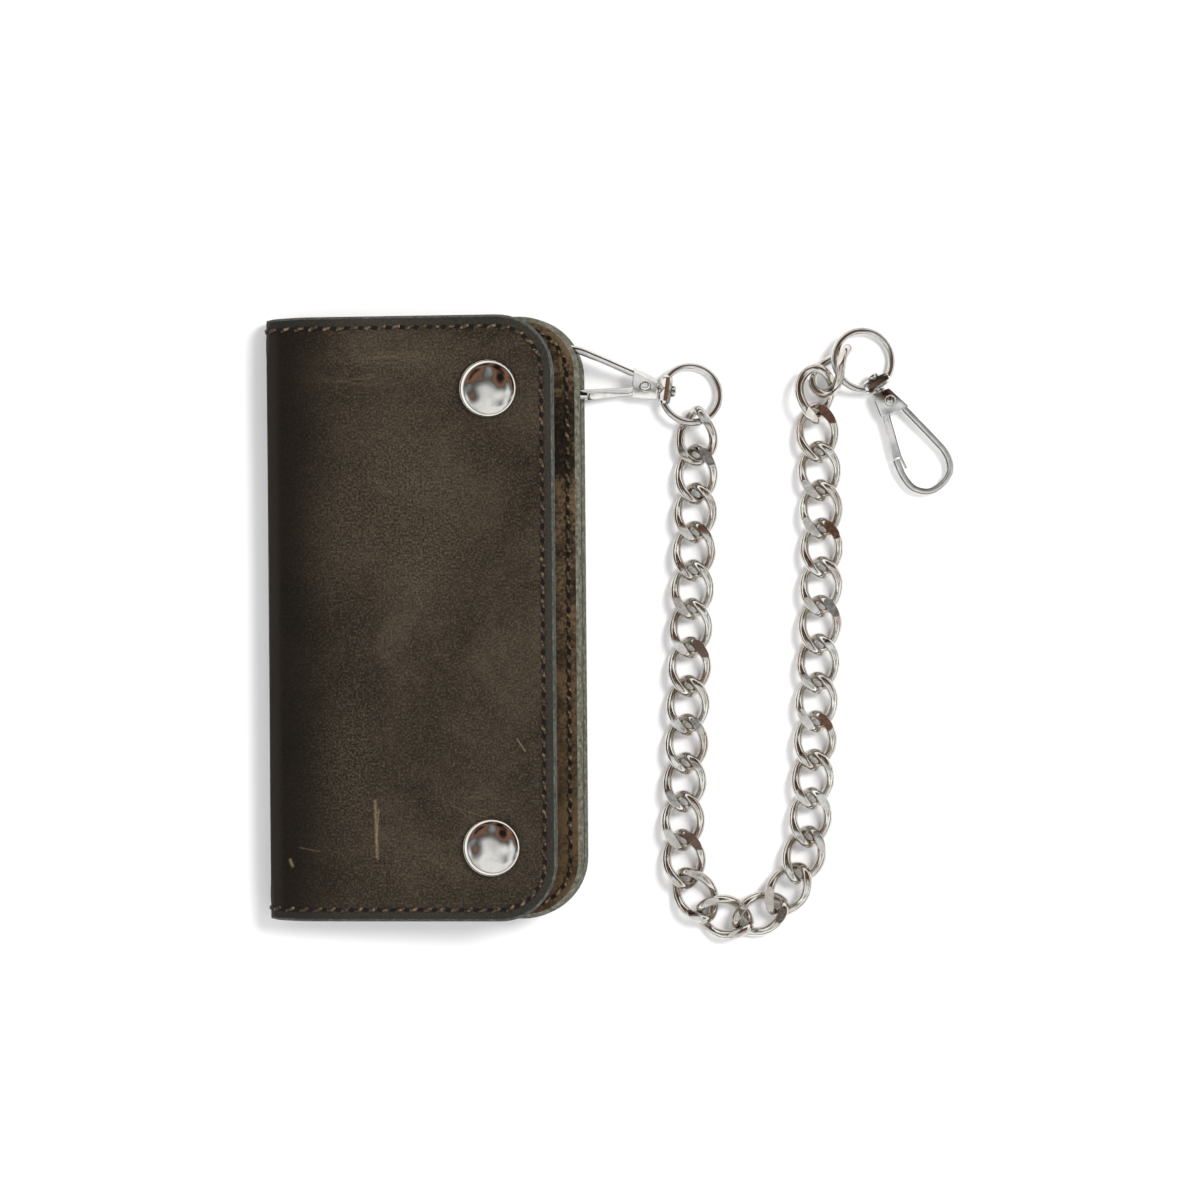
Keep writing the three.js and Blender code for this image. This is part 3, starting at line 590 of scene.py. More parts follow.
# A sheet: rings of points from inside its upper face, over its edge, to inside its lower face.
def leatherSheet(name, shape, profile, place, finishes3, grid=4.0, relief=None):
    points, flat, faces, finish = [], [], [], []
    rings = []
    for inset, depth in profile:
        ring = []
        for u, v in outlineAt(shape, inset):
            sunk = relief(u, v) if relief else 0
            ring.append(len(points))
            points.append(place(u, v, depth + sunk))
            flat.append((u, v))
        rings.append(ring)
    thickness = max(depth for _, depth in profile)
    count = len(rings[0])
    for k, (a, b) in enumerate(zip(rings, rings[1:])):
        middleDepth = (profile[k][1] + profile[k + 1][1]) / 2
        onEdge = profile[k][0] + profile[k + 1][0] < 2.4 and 0.03 * thickness < middleDepth < 0.985 * thickness
        lower = middleDepth >= 0.9 * thickness and not onEdge
        for i in range(count):
            faces.append((a[i], a[(i + 1) % count], b[(i + 1) % count], b[i]))
            finish.append(1 if onEdge else 2 if lower else 0)
    for ring, inset, depth, slot in ((rings[0], *profile[0], 0), (rings[-1], *profile[-1], 2)):
        corners = [Vector(flat[i]) for i in ring]
        inside = []
        lowU, highU = min(c.x for c in corners), max(c.x for c in corners)
        lowV, highV = min(c.y for c in corners), max(c.y for c in corners)
        across, down = int((highU - lowU) / grid), int((highV - lowV) / grid)
        room = {**shape, "half": shape["half"] - inset - grid * 0.5, "right": shape["right"] - inset - grid * 0.5}
        for i in range(1, across):
            for j in range(1, down):
                u = lowU + (highU - lowU) * i / across
                v = lowV + (highV - lowV) * j / down
                cornerU = room["right"] - shape["radius"]
                cornerV = room["half"] - shape["radius"]
                out = math.hypot(max(u - cornerU, 0), max(abs(v) - cornerV, 0)) > shape["radius"]
                if not out and u < room["right"] and abs(v) < room["half"]:
                    inside.append(Vector((u, v)))
        result = delaunay_2d_cdt(corners + inside, [], [list(range(len(corners)))], 1, 1e-5)
        index = []
        for vertex, origin in zip(result[0], result[3]):
            if origin and origin[0] < len(corners):
                index.append(ring[origin[0]])
                continue
            sunk = relief(vertex.x, vertex.y) if relief else 0
            index.append(len(points))
            points.append(place(vertex.x, vertex.y, depth + sunk))
            flat.append((vertex.x, vertex.y))
        for face in result[2]:
            faces.append(tuple(index[i] for i in face))
            finish.append(slot)
    return meshObject(name, points, faces, finishes3, finish, flat, smoothAngle=50)


stitchSize = {
    "inset": 3.5,
    "pitch": 4.1,
    "gap": 1.1,  # between two stitches, where the needle's hole shows as a dark disc of painted shade
    "thread": 0.5,
    "rise": 0.36,
    "slant": 0.5,
    "strandTurns": 1.6,
}


# A row of slanted stitches along a line on a sheet, and the holes between them, painted near black as shade.
def stitchRow(name, line, place, size=stitchSize):
    lengths = [0]
    for a, b in zip(line, line[1:]):
        lengths.append(lengths[-1] + math.dist(a, b))
    count = round(lengths[-1] / size["pitch"])
    pitch = lengths[-1] / count

    def at(distance):
        distance = min(max(distance, 0), lengths[-1])
        k = min(next(i for i in range(1, len(lengths)) if lengths[i] >= distance - 1e-9), len(lengths) - 1)
        f = (distance - lengths[k - 1]) / (lengths[k] - lengths[k - 1])
        a, b = Vector(line[k - 1]), Vector(line[k])
        return a.lerp(b, f), (b - a).normalized()

    steps, sides = 8, 8

    def strands(k):  # a section of two twisted strands
        made = []
        for angle in [2 * math.pi * s / sides for s in range(sides)]:
            radius = size["thread"] * (1 + 0.16 * math.cos(2 * (angle - size["strandTurns"] * math.pi * k / steps)))
            made.append((radius * math.cos(angle), radius * 0.85 * math.sin(angle)))
        return made

    parts, finish = [], []
    for i in range(count):
        start, end = i * pitch + size["gap"] / 2, (i + 1) * pitch - size["gap"] / 2
        stations = []
        for k in range(steps + 1):
            t = k / steps
            spot, direction = at(start + (end - start) * t)
            spot = spot + Vector((-direction.y, direction.x)) * size["slant"] * (t - 0.5) * 2
            sinking = abs(2 * t - 1) ** 4
            depth = -size["rise"] * (1 - sinking) + 0.5 * sinking
            middle = place(spot.x, spot.y, depth)
            outward = (place(spot.x, spot.y, 0) - place(spot.x, spot.y, 1)).normalized()
            ahead = place(*(spot + direction * 0.1), depth) - middle
            stations.append((middle, outward.cross(ahead).normalized(), outward))
        parts.append(swept(stations, strands))
        finish += [0] * len(parts[-1][1])
        # the needle's hole: a shallow dent, near black as painted shade
        spot, direction = at(i * pitch)
        rim = []
        for s in range(8):
            angle = 2 * math.pi * s / 8
            offset = direction * 1.15 * math.cos(angle) + Vector((-direction.y, direction.x)) * 0.68 * math.sin(angle)
            rim.append(place(*(spot + offset), -0.03))
        low = [place(*spot, 0.25)]
        parts.append((rim + low, [(s, (s + 1) % 8, 8) for s in range(8)] + [tuple(range(7, -1, -1))]))
        finish += [1] * 9
    points, faces = joined(*parts)
    return meshObject(name, points, faces, [finishes["thread"], finishes["hole"]], finish, smoothAngle=60)


# ---- the cover: one piece of leather, wrapped round the spine ----
cover = {
    "bends": (4.2, 4.6),  # outer radii where the back turns into the spine, and the spine into the flap
    "edgeDrop": 0.45,  # how far the edge beyond the stitches is pressed down
    "grooveDepth": 0.22,
    "capDent": 0.35,
    "spineDraw": 0.45,  # how far the leather is drawn in at the spine's two ends
}
coverThickness = backHigh.z - backLow.z
capLow, capHigh = layerBox("snap_cap_upper")
capCentre = ((capLow.x + capHigh.x) / 2, (capLow.y + capHigh.y) / 2)
capRadius = (capHigh.x - capLow.x) / 2


# The outer surface's section, as a closely spaced line: along the back, up the spine, along the flap.
def coverSection():
    end = layerFrame @ Vector((flapHigh.x, 0, flapHigh.z))
    places = [(backHigh.x, 0), (spineLow.x, 0), (spineLow.x, spineHigh.z), (end.x, end.z)]
    corners = [Vector(place) for place in places]
    made = [corners[0]]
    for before, corner, after, radius in zip(corners, corners[1:], corners[2:], cover["bends"]):
        into, out = (corner - before).normalized(), (after - corner).normalized()
        turn = into.angle(out)
        reach = radius * math.tan(turn / 2)
        first = corner - into * reach
        centre = first + Vector((into.y, -into.x)) * radius
        steps = 24
        for i in range(steps + 1):
            angle = turn * i / steps
            spoke = first - centre
            c, s = math.cos(-angle), math.sin(-angle)
            made.append(centre + Vector((spoke.x * c - spoke.y * s, spoke.x * s + spoke.y * c)))
    made.append(corners[3])
    return made


section = coverSection()
sectionLength = [0]
for before, after in zip(section, section[1:]):
    sectionLength.append(sectionLength[-1] + (after - before).length)
seamIndex = 26  # the section's point at the end of the first bend
seamAt = (sectionLength[seamIndex - 1] + sectionLength[seamIndex]) / 2
totalLength = sectionLength[-1]


def sectionAt(distance):
    k = int(np.searchsorted(sectionLength, min(max(distance, 1e-6), totalLength)))
    k = min(max(k, 1), len(section) - 1)
    step = section[k] - section[k - 1]
    spot = section[k - 1] + step * ((distance - sectionLength[k - 1]) / (sectionLength[k] - sectionLength[k - 1]))
    # the direction is blended between neighbouring stretches, so that the bends shade smoothly
    near = [section[j] - section[j - 1] for j in (max(k - 1, 1), k, min(k + 1, len(section) - 1))]
    direction = sum((n.normalized() for n in near), Vector((0, 0))).normalized()
    return spot, Vector((-direction.y, direction.x))


def drawnIn(v, fromSpine):
    return v * (1 - cover["spineDraw"] / spineHigh.y * (1 - smoothStep(fromSpine, 0, 14)))


def flapPlace(u, v, depth):
    spot, outward = sectionAt(u + totalLength - flapHigh.x)
    spot = spot - outward * depth
    return Vector((spot.x, drawnIn(v, u), spot.y))


def backPlace(u, v, depth):
    spot, outward = sectionAt(backHigh.x - u)
    spot = spot - outward * depth
    return Vector((spot.x, drawnIn(v, u - spineLow.x), spot.y))


flapShape = {
    "left": seamAt - totalLength + flapHigh.x,
    "right": flapHigh.x,
    "half": flapHigh.y,
    "radius": flapCorner,
    "seam": True,
}
backShape = {**flapShape, "left": backHigh.x - seamAt, "right": backHigh.x, "half": backHigh.y, "radius": backCorner}


def edgeDistance(shape, u, v):
    cornerU, cornerV = shape["right"] - shape["radius"], shape["half"] - shape["radius"]
    if u > cornerU and abs(v) > cornerV:
        return shape["radius"] - math.hypot(u - cornerU, abs(v) - cornerV)
    return min(shape["right"] - u, shape["half"] - abs(v))


def flapRelief(u, v):
    inset = edgeDistance(flapShape, u, v)
    sunk = cover["edgeDrop"] * (1 - smoothStep(inset, 0, 6.5))
    sunk += cover["grooveDepth"] * math.exp(-(((inset - stitchSize["inset"]) / 0.75) ** 2))
    fromCap = math.hypot(u - capCentre[0], abs(v) - capCentre[1])
    sunk += cover["capDent"] * math.exp(-(((fromCap - capRadius + 1) / 3.2) ** 2))
    sunk += 0.16 * math.sin(u * 0.09 + 0.6) * math.sin(v * 0.047 + 1.1) * smoothStep(inset, 2, 14)
    return sunk


def backRelief(u, v):
    inset = edgeDistance(backShape, u, v)
    return 0.12 * math.exp(-(((inset - stitchSize["inset"]) / 0.75) ** 2))


upperRings = [(inset, 0) for inset in (9, 7.5, 6.2, 5.2, 4.5, 4, 3.5, 3, 2.5, 1.8, 1.1)]
lowerRings = [(3, coverThickness), (8, coverThickness)]
coverEdge = [(0.75, 0.02), (0.6, 0.12), (0.3, 0.36), (0.1, 0.7), (0, 1.05), (0, 1.4)]
coverEdge += [(0.12, 1.8), (0.35, 1.95), (0.8, coverThickness)]
coverProfile = upperRings + coverEdge + lowerRings
coverFinishes = [finishes["cover"], finishes["edge"], finishes["lining"]]
# the back's edge is bevelled on its inner side, the one that is seen from above
backEdge = [(0.8, 0), (0.35, 0.05), (0.12, 0.2), (0, 0.55), (0, 1.0)]
backEdge += [(0.25, 1.45), (0.7, 1.75), (1.1, 1.93), (1.5, coverThickness)]
backProfile = upperRings + backEdge + lowerRings
backFinishes = [finishes["cover"], finishes["rawEdge"], finishes["lining"]]

flapPiece = leatherSheet("flap_leather", flapShape, coverProfile, flapPlace, coverFinishes, relief=flapRelief)
backPiece = leatherSheet("back_leather", backShape, backProfile, backPlace, backFinishes, relief=backRelief)


def foldFlap(piece):
    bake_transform(piece)


def foldBack(piece):
    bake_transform(piece)


foldFlap(flapPiece)
foldBack(backPiece)
belongs(flapPiece, None, "pull_up_leather", "front_cover", "spine")
belongs(backPiece, None, "pull_up_leather", "back_cover")
print("cover: two pieces that meet along the middle of the spine")


def stitchLine(shape):
    ring = outlineAt({**shape, "seam": True}, stitchSize["inset"])
    return ring[: len(ring) - endSteps(shape) + 1]


def sunkPlace(place, relief):
    return lambda u, v, depth: place(u, v, depth + relief(u, v))


flapStitches = stitchRow("flap_stitches", stitchLine(flapShape), sunkPlace(flapPlace, flapRelief))
foldFlap(flapStitches)
belongs(flapStitches, None, "thread", "front_stitching")
pulledIn = {**stitchSize, "rise": 0.05, "thread": 0.3}
backStitches = stitchRow("back_cover_stitches", stitchLine(backShape), sunkPlace(backPlace, backRelief), pulledIn)
foldBack(backStitches)
belongs(backStitches, None, "thread")
print("stitches round the cover")


# ---- the layers inside ----
def layerPlace(low, high, faceUp):
    def place(u, v, depth):
        height = high.z - depth if faceUp else low.z + depth
        return layerFrame @ Vector((u, v, height))

    return place


layers = {  # body, corner radius, whether its outer face is up, finish, slot
    "back_inner_panel": ("wallet_back", 17, True, "inner", "nubuck_leather"),
    "bill_pocket_lining": ("wallet_back", 18, True, "lining", "lining_leather"),
    "front_inner_panel": ("wallet_flap", 17, False, "inner", "nubuck_leather"),
    "card_pocket": ("wallet_back", 5, True, "inner", "nubuck_leather"),
    "coin_pocket": ("wallet_flap", 5, False, "inner", "nubuck_leather"),
}
panelBevel = [(0.5, 0.02), (0.2, 0.1), (0.04, 0.25)]
shownBevel = [(1.25, 0.02), (0.9, 0.16), (0.3, 0.4), (0.06, 0.52)]  # of the panel whose edge shows from above
for node, (body, radius, faceUp, finishName, slot) in layers.items():
    low, high = layerBox(node)
    shape = {"left": low.x, "right": high.x, "half": high.y, "radius": radius}
    thick = high.z - low.z
    place = layerPlace(low, high, faceUp)
    edge = shownBevel if node == "back_inner_panel" else panelBevel
    edge = edge + [(0, thick / 2 + 0.05), (0.04, thick - 0.25), (0.2, thick - 0.08), (0.5, thick)]
    profile = [(inset, 0) for inset in (9, 6, 4.3, 3.5, 2.7, 1.6)] + edge + [(3, thick), (8, thick)]

    def panelRelief(u, v, shape=shape):
        inset = min(edgeDistance(shape, u, v), u - shape["left"] + 2)
        groove = 0.12 * math.exp(-(((inset - stitchSize["inset"]) / 0.8) ** 2))
        return groove + 0.1 * (1 - smoothStep(inset, 0, 2.5))

    look = finishes[finishName]
    sheetFinishes = [look, finishes["rawEdge"], look]
    panel = leatherSheet(node + "_leather", shape, profile, place, sheetFinishes, relief=panelRelief)
    belongs(panel, body, slot, node)
    if node != "bill_pocket_lining":
        row = stitchRow(node + "_stitches", stitchLine(shape), sunkPlace(place, panelRelief))
        belongs(row, body, "thread", *(["back_stitching"] if node == "back_inner_panel" else []))
print("inner panels and pockets")

# ---- the snaps ----
snapLook = {"rimRadius": 0.4, "spread": 0.2}


def capProfile(base, top, radius):
    rim = snapLook["rimRadius"]
    radius += snapLook["spread"]
    made = [(0, base + 0.15), (radius - 1.2, base + 0.1), (radius - 0.7, base)]
    for i in range(7):
        angle = -math.pi / 2 + math.pi * 0.78 * i / 6
        made.append((radius - rim + rim * math.cos(angle), base + rim + rim * math.sin(angle)))
    edgeRadius, edgeHeight = made[-1]
    steps = 16
    for i in range(1, steps + 1):
        angle = i / steps * math.pi / 2
        made.append((edgeRadius * math.cos(angle) ** 0.92, edgeHeight + (top - edgeHeight) * math.sin(angle)))
    made[-1] = (0, top)
    return made


def socketProfile(low, high, radius):
    inner = radius * 0.66
    made = [(0, high), (radius - 0.4, high), (radius, high - 0.35), (radius, low + 0.3), (radius - 0.25, low + 0.05)]
    made += [(radius - 0.7, low), (inner + 0.5, low + 0.05), (inner, low + 0.35), (inner, high - 0.6)]
    return made + [(0, high - 0.6)]


def studProfile(low, high, radius):
    ball = radius * 0.61
    made = [(0, low), (radius - 0.2, low), (radius, low + 0.2), (radius - 0.3, low + 0.5), (ball + 0.3, low + 0.62)]
    made += [(ball - 0.25, low + 0.9), (ball - 0.2, (low + high) / 2), (ball + 0.02, high - 0.75)]
    made += [(ball, high - 0.35), (ball - 0.4, high - 0.05), (ball - 0.8, high), (1.4, high - 0.1)]
    return made + [(1.2, high - 0.5), (0, high - 0.6)]


def postProfile(low, high, radius):
    made = [(0, low - 0.05), (radius * 0.6, low), (radius - 0.15, low + 0.1), (radius, low + 0.35)]
    return made + [(radius - 0.2, low + 0.55), (1.5, low + 0.6), (1.5, high), (0, high)]


snapParts = {
    "snap_cap_": (capProfile, "wallet_flap"),
    "snap_socket_": (socketProfile, "wallet_flap"),
    "snap_stud_": (studProfile, "wallet_back"),
    "snap_stud_post_": (postProfile, "wallet_back"),
}
for stem, (profileOf, body) in snapParts.items():
    for side in ("upper", "lower"):
        low, high = layerBox(stem + side)
        radius = (high.x - low.x) / 2
        base = flapHigh.z + 0.05 if stem == "snap_cap_" else low.z
        shape = turned(profileOf(base, high.z, radius), 72, ((low.x + high.x) / 2, (low.y + high.y) / 2))
        piece = meshObject(stem + side + "_metal", *shape, [finishes["cap"]], smoothAngle=60)
        piece.data.transform(inMetres(layerFrame))
        belongs(piece, body, "snap_nickel", stem + side)
print("snaps")

# ---- the chain ----
linkSize = {
    "wire": 1.4,
    "halfWidth": 5.2,
    "halfLength": 7.75,
    "twist": 45,
    "flat": 2.84,
    "tilt": 4,  # degrees that the filed flats of one link lean differently from the next
    "sides": 20,
    "steps": 84,
}


def linkCurve(angle):
    turn = math.radians(linkSize["twist"]) * math.sin(angle)
    across = linkSize["halfWidth"] * math.cos(angle)
    return Vector((across * math.cos(turn), linkSize["halfLength"] * math.sin(angle), across * math.sin(turn)))


def cutBy(piece, cutter, operation):
    modifier = piece.modifiers.new("cut", "BOOLEAN")
    modifier.object = cutter
    modifier.operation = operation
    modifier.solver = "EXACT"
    bpy.context.view_layer.update()
    made = bpy.data.meshes.new_from_object(piece.evaluated_get(bpy.context.evaluated_depsgraph_get()))
    piece.modifiers.clear()
    piece.data = made
    bpy.data.objects.remove(cutter)
    return piece


# The points and faces of a bmesh, which is then freed.
def lifted(made):
    points = [v.co.copy() for v in made.verts]
    faces = [tuple(v.index for v in f.verts) for f in made.faces]
    made.free()
    return points, faces


def blockMesh(name, low, high):
    made = bmesh.new()
    bmesh.ops.create_cube(made, size=1)
    size = Vector(high) - Vector(low)
    bmesh.ops.scale(made, vec=size, verts=made.verts)
    bmesh.ops.translate(made, vec=(Vector(high) + Vector(low)) / 2, verts=made.verts)
    return meshObject(name, *lifted(made), [])


def curbLink(lean):
    stations = []
    for i in range(linkSize["steps"]):
        angle = 2 * math.pi * i / linkSize["steps"]
        middle = linkCurve(angle)
        tangent = (linkCurve(angle + 0.001) - linkCurve(angle - 0.001)).normalized()
        side = middle.cross(tangent).normalized()
        stations.append((middle, tangent.cross(side), side))
    shape = swept(stations, circle(linkSize["wire"], linkSize["sides"]), closed=True)
    link = meshObject("curb_link", *shape, [finishes["link"]])
    reach = 20
    slab = blockMesh("slab", (-reach, -reach, -linkSize["flat"]), (reach, reach, linkSize["flat"]))
    tilted = Matrix.Rotation(math.radians(lean[0]), 4, "X") @ Matrix.Rotation(math.radians(lean[1]), 4, "Y")
    slab.data.transform(tilted)
    cutBy(link, slab, "INTERSECT")
    link.data.shade_smooth()
    link.data.set_sharp_from_angle(angle=math.radians(28))
    made = link.data
    bpy.data.objects.remove(link)
    return made


linkNodes = sorted(name for name in frame["nodes"] if name.startswith("link_"))
for number, node in enumerate(linkNodes):
    lean = [linkSize["tilt"] * math.sin(number * turn) for turn in (2.4, 5.1)]
    piece = bpy.data.objects.new("curb_" + node, curbLink(lean))
    piece.data.transform(inMetres(spreadFrame(node)))
    bpy.context.scene.collection.objects.link(piece)
    belongs(piece, node, "chain_nickel", node)
print("chain:", len(linkNodes), "links")

# ---- the snap hooks ----
hookSize = {
    "thick": 4.0,
    "rod": 1.06,
    "noseX": 36,
    "wideX": 28,
    "backY": 8.2,
    "mouthY": -6.2,
    "pivot": (6.45, 1.06),
    "gateThick": 1.8,
    "knuckle": 1.65,
    "pin": 0.75,
    "rivet": 1.75,
    "rivetRise": 0.62,
    "stem": 1.1,
    "head": 1.8,
    "bossWidth": 3.2,
    "barrelWidth": 4,
    "bossLength": 8.6,
    "bossHeight": 4.4,
    "ringWire": 1.12,
    "ringInset": 1,
}


# A prism between two heights, its rim bevelled.
def prism(outline, low, high, bevel):
    made = bmesh.new()
    lower = [made.verts.new((x, y, low)) for x, y in outline]
    face = made.faces.new(lower)
    grown = bmesh.ops.extrude_face_region(made, geom=[face])
    top = [v for v in grown["geom"] if isinstance(v, bmesh.types.BMVert)]
    bmesh.ops.translate(made, vec=(0, 0, high - low), verts=top)
    bmesh.ops.recalc_face_normals(made, faces=made.faces)
    bmesh.ops.bevel(made, geom=made.edges, offset=bevel, segments=2, affect="EDGES", profile=0.6)
    made.verts.index_update()
    return lifted(made)


def rodSection(radius):
    cut = radius * 0.52
    corners = [(radius, cut), (cut, radius), (-cut, radius), (-radius, cut)]
    corners += [(-x, -y) for x, y in corners]
    made = []
    for i, corner in enumerate(corners):  # each corner is rounded over three points
        before, after = Vector(corners[i - 1]), Vector(corners[(i + 1) % 8])
        here = Vector(corner)
        for point in (here.lerp(before, 0.2), here * 0.985, here.lerp(after, 0.2)):
            made.append((point.x, point.y))
    return made


def hookBody():
    size = hookSize
    half = size["thick"] / 2
    blockStart = size["bossWidth"] / 2 + 0.7
    outline = [(blockStart, -2.6), (blockStart + 0.7, 2.6), (10.6, 5.1), (9.6, -3.4)]
    plate = meshObject("plate", *prism(outline, -half, half, 0.45), [finishes["hook"]])
    nose, wide, back, mouth = size["noseX"], size["wideX"], size["backY"], size["mouthY"]
    knots = [(8.6, 3.3), (wide - 6.5, back - 1.4), (wide, back), (nose - 3.4, back - 0.9), (nose - 0.9, back - 3.8)]
    knots += [(nose, 0.2), (nose - 1, mouth + 3.2), (nose - 4, mouth + 0.7), (wide - 0.5, mouth)]
    knots += [(wide - 5.3, mouth + 0.5)]
    rod = smoothCurve([(*knot, 0) for knot in knots], 120)
    rodPart = meshObject("rod", *swept(flatStations(rod), rodSection(size["rod"])), [finishes["hook"]])
    cutBy(plate, rodPart, "UNION")
    headEnd = -size["bossWidth"] / 2 - 0.3
    head, neck = size["head"], size["stem"]
    stemProfile = [(0, headEnd - 1.25), (head * 0.55, headEnd - 1.2), (head * 0.92, headEnd - 0.85)]
    stemProfile += [(head, headEnd - 0.4), (head * 0.9, headEnd), (neck, headEnd + 0.02), (neck, blockStart - 0.3)]
    stemProfile += [(neck * 1.5, blockStart + 0.15), (neck * 1.5, blockStart + 1.2), (0, blockStart + 1.3)]
    turnedStem = moved(turned(stemProfile, 40), Matrix.Rotation(math.pi / 2, 4, "Y"))
    stem = meshObject("stem", *turnedStem, [finishes["hook"]])
    cutBy(plate, stem, "UNION")
    slotHalf = size["gateThick"] / 2 + 0.3
    room = size["knuckle"] + 0.3
    slot = blockMesh(
        "slot",
        (size["pivot"][0] - room, size["pivot"][1] + room - 8, -slotHalf),
        (size["pivot"][0] - room + 9, size["pivot"][1] + room, slotHalf),
    )
    cutBy(plate, slot, "DIFFERENCE")
    plate.data.shade_smooth()
    plate.data.set_sharp_from_angle(angle=math.radians(30))
    made = plate.data
    bpy.data.objects.remove(plate)
    return made


def gateMesh():
    size = hookSize
    half = size["gateThick"] / 2
    px, py = size["pivot"]
    endX, endY = size["wideX"] - 5.7, size["mouthY"] + 0.55
    tongueY = size["mouthY"] + size["rod"] + 0.3
    outline = [(px - 0.6, py - 1.35), (px + 2.4, -2.9), (px + 4.3, -3.4), (endX, endY - 1.1), (endX, tongueY + 0.3)]
    outline += [(size["wideX"] - 1.5, tongueY + 0.1), (size["wideX"] - 1.5, tongueY + 0.8), (endX, endY + 1.9)]
    outline += [(px + 4.3, -1.1), (px + 1.6, py - 0.6), (px + 1.2, py + 1.0), (px, py + 1.6)]
    outline += [(px - 1.2, py + 1.0), (px - 1.6, py)]
    return meshObject("gate", *prism(outline, -half, half, 0.35), [finishes["hook"]], smoothAngle=35)


def rivetMesh():
    size = hookSize
    half = size["thick"] / 2 + 0.02
    rise = size["rivetRise"]
    side = [(size["rivet"] * math.cos(a), half + rise * math.sin(a)) for a in (0, 0.35, 0.75, 1.15)]
    profile = [(0, -half - rise)] + [(r, -h) for r, h in reversed(side)] + [(size["pin"], -half), (size["pin"], half)]
    profile += side + [(0, half + rise)]
    return meshObject("rivet", *turned(profile, 40, size["pivot"]), [finishes["hook"]], smoothAngle=60)


def ringMesh(radius):
    size = hookSize
    centre = Vector((size["ringInset"] - radius, 0, 0))
    stations = []
    for i in range(120):
        angle = 2 * math.pi * i / 120
        spoke = Vector((math.cos(angle), math.sin(angle), 0))
        stations.append((centre + spoke * radius, spoke, Vector((0, 0, 1))))
    wire = swept(stations, circle(size["ringWire"], 20), closed=True)
    # the boss is a barrel with flats rolled along it
    steps, sides = 14, 10
    barrel = []
    for i in range(steps + 1):
        t = i / steps * 2 - 1
        swell = math.sqrt(max(1 - 0.16 * t * t - 0.45 * abs(t) ** 16, 0.05))
        barrel.append((Vector((0, t * size["bossLength"] / 2, 0)), Vector((swell, 0, 0)), Vector((0, 0, swell))))
    rim = [(size["barrelWidth"] / 2 * a, size["bossHeight"] / 2 * b) for a, b in circle(1, sides)]
    boss = swept(barrel, rim)
    return meshObject("ring", *joined(wire, boss), [finishes["hook"]], smoothAngle=32)


hookMesh = hookBody()
gate, rivet = gateMesh(), rivetMesh()


def placed(name, mesh, matrix, body, node):
    piece = bpy.data.objects.new(name, mesh.copy())
    piece.data.transform(inMetres(matrix))
    bpy.context.scene.collection.objects.link(piece)
    belongs(piece, body, "hook_nickel", node)


for side in ("near", "far"):
    hook = hookFrame(side)
    placed(side + "_hook_casting", hookMesh, hook, side + "_hook", side + "_hook_body")
    placed(side + "_hook_latch", gate.data, hook, side + "_gate", side + "_hook_gate")
    placed(side + "_hook_rivet", rivet.data, hook, side + "_hook", side + "_gate_pin")
    ringNode = side + "_swivel_ring"
    points = nodePoints(ringNode)
    centred = points - points.mean(axis=0)
    normal = Vector(np.linalg.eigh(centred.T @ centred)[1][:, 0])
    along = Vector(joints["hook_" + side + "_swivel"]["axis"]).normalized()
    normal = (normal - along * normal.dot(along)).normalized()
    ringPlace = Matrix((along, normal.cross(along), normal)).transposed().to_4x4()
    ringPlace.translation = hook.translation
    reach = -(np.array(ringPlace.inverted())[0] @ np.c_[points, np.ones(len(points))].T).min()
    radius = (reach + hookSize["ringInset"] - hookSize["ringWire"]) / 2
    ring = ringMesh(radius)
    placed(side + "_ring", ring.data, ringPlace, side + "_ring", ringNode)
    bpy.data.objects.remove(ring)
    spring = frame["nodes"][side + "_gate_spring"]
    spring.data.materials.clear()
    spring.data.materials.append(finishes["spring"])
bpy.data.objects.remove(gate)
bpy.data.objects.remove(rivet)
print("snap hooks and rings")


# ---- the D-ring and its tab ----
def softened(node, name, material, bevel=0.0):
    copy = frame["nodes"][node].data.copy()
    piece = bpy.data.objects.new(name, copy)
    bpy.context.scene.collection.objects.link(piece)
    work = bmesh.new()
    work.from_mesh(copy)
    bmesh.ops.remove_doubles(work, verts=work.verts, dist=1e-6)
    bmesh.ops.dissolve_limit(work, angle_limit=0.01, verts=work.verts, edges=work.edges)
    work.to_mesh(copy)
    work.free()
    copy.materials.clear()
    copy.materials.append(material)
    if bevel:
        rim = piece.modifiers.new("rim", "BEVEL")
        rim.width = bevel * mm
        rim.segments = 3
        rim.limit_method = "ANGLE"
    else:
        fine = piece.modifiers.new("round", "SUBSURF")
        fine.levels = fine.render_levels = 2
    bpy.context.view_layer.update()
    piece.data = bpy.data.meshes.new_from_object(piece.evaluated_get(bpy.context.evaluated_depsgraph_get()))
    piece.modifiers.clear()
    piece.data.shade_smooth()
    if bevel:
        piece.data.set_sharp_from_angle(angle=math.radians(40))
    return piece


dRing = softened("d_ring", "d_ring_wire", finishes["hook"])
belongs(dRing, "d_ring", "hook_nickel", "d_ring")
tab = softened("chain_tab", "folded_tab", finishes["edge"], bevel=0.3)
belongs(tab, "wallet_back", "pull_up_leather", "chain_tab")
print("D-ring and tab")

# ---- floor, light and camera ----
studio = {
    "width": 354,  # millimetres across the picture, at the middle height of the object
    "lens": 120,
    "centre": (51.1, 5.0),
    "height": 10,
    "roll": -0.476,
    "key": {"place": (620, 330, 900), "size": 0.5, "power": 11.5, "gloss": False},
    "fill": {"place": (-500, -300, 900), "size": 1.2, "power": 3.5, "gloss": False},
}


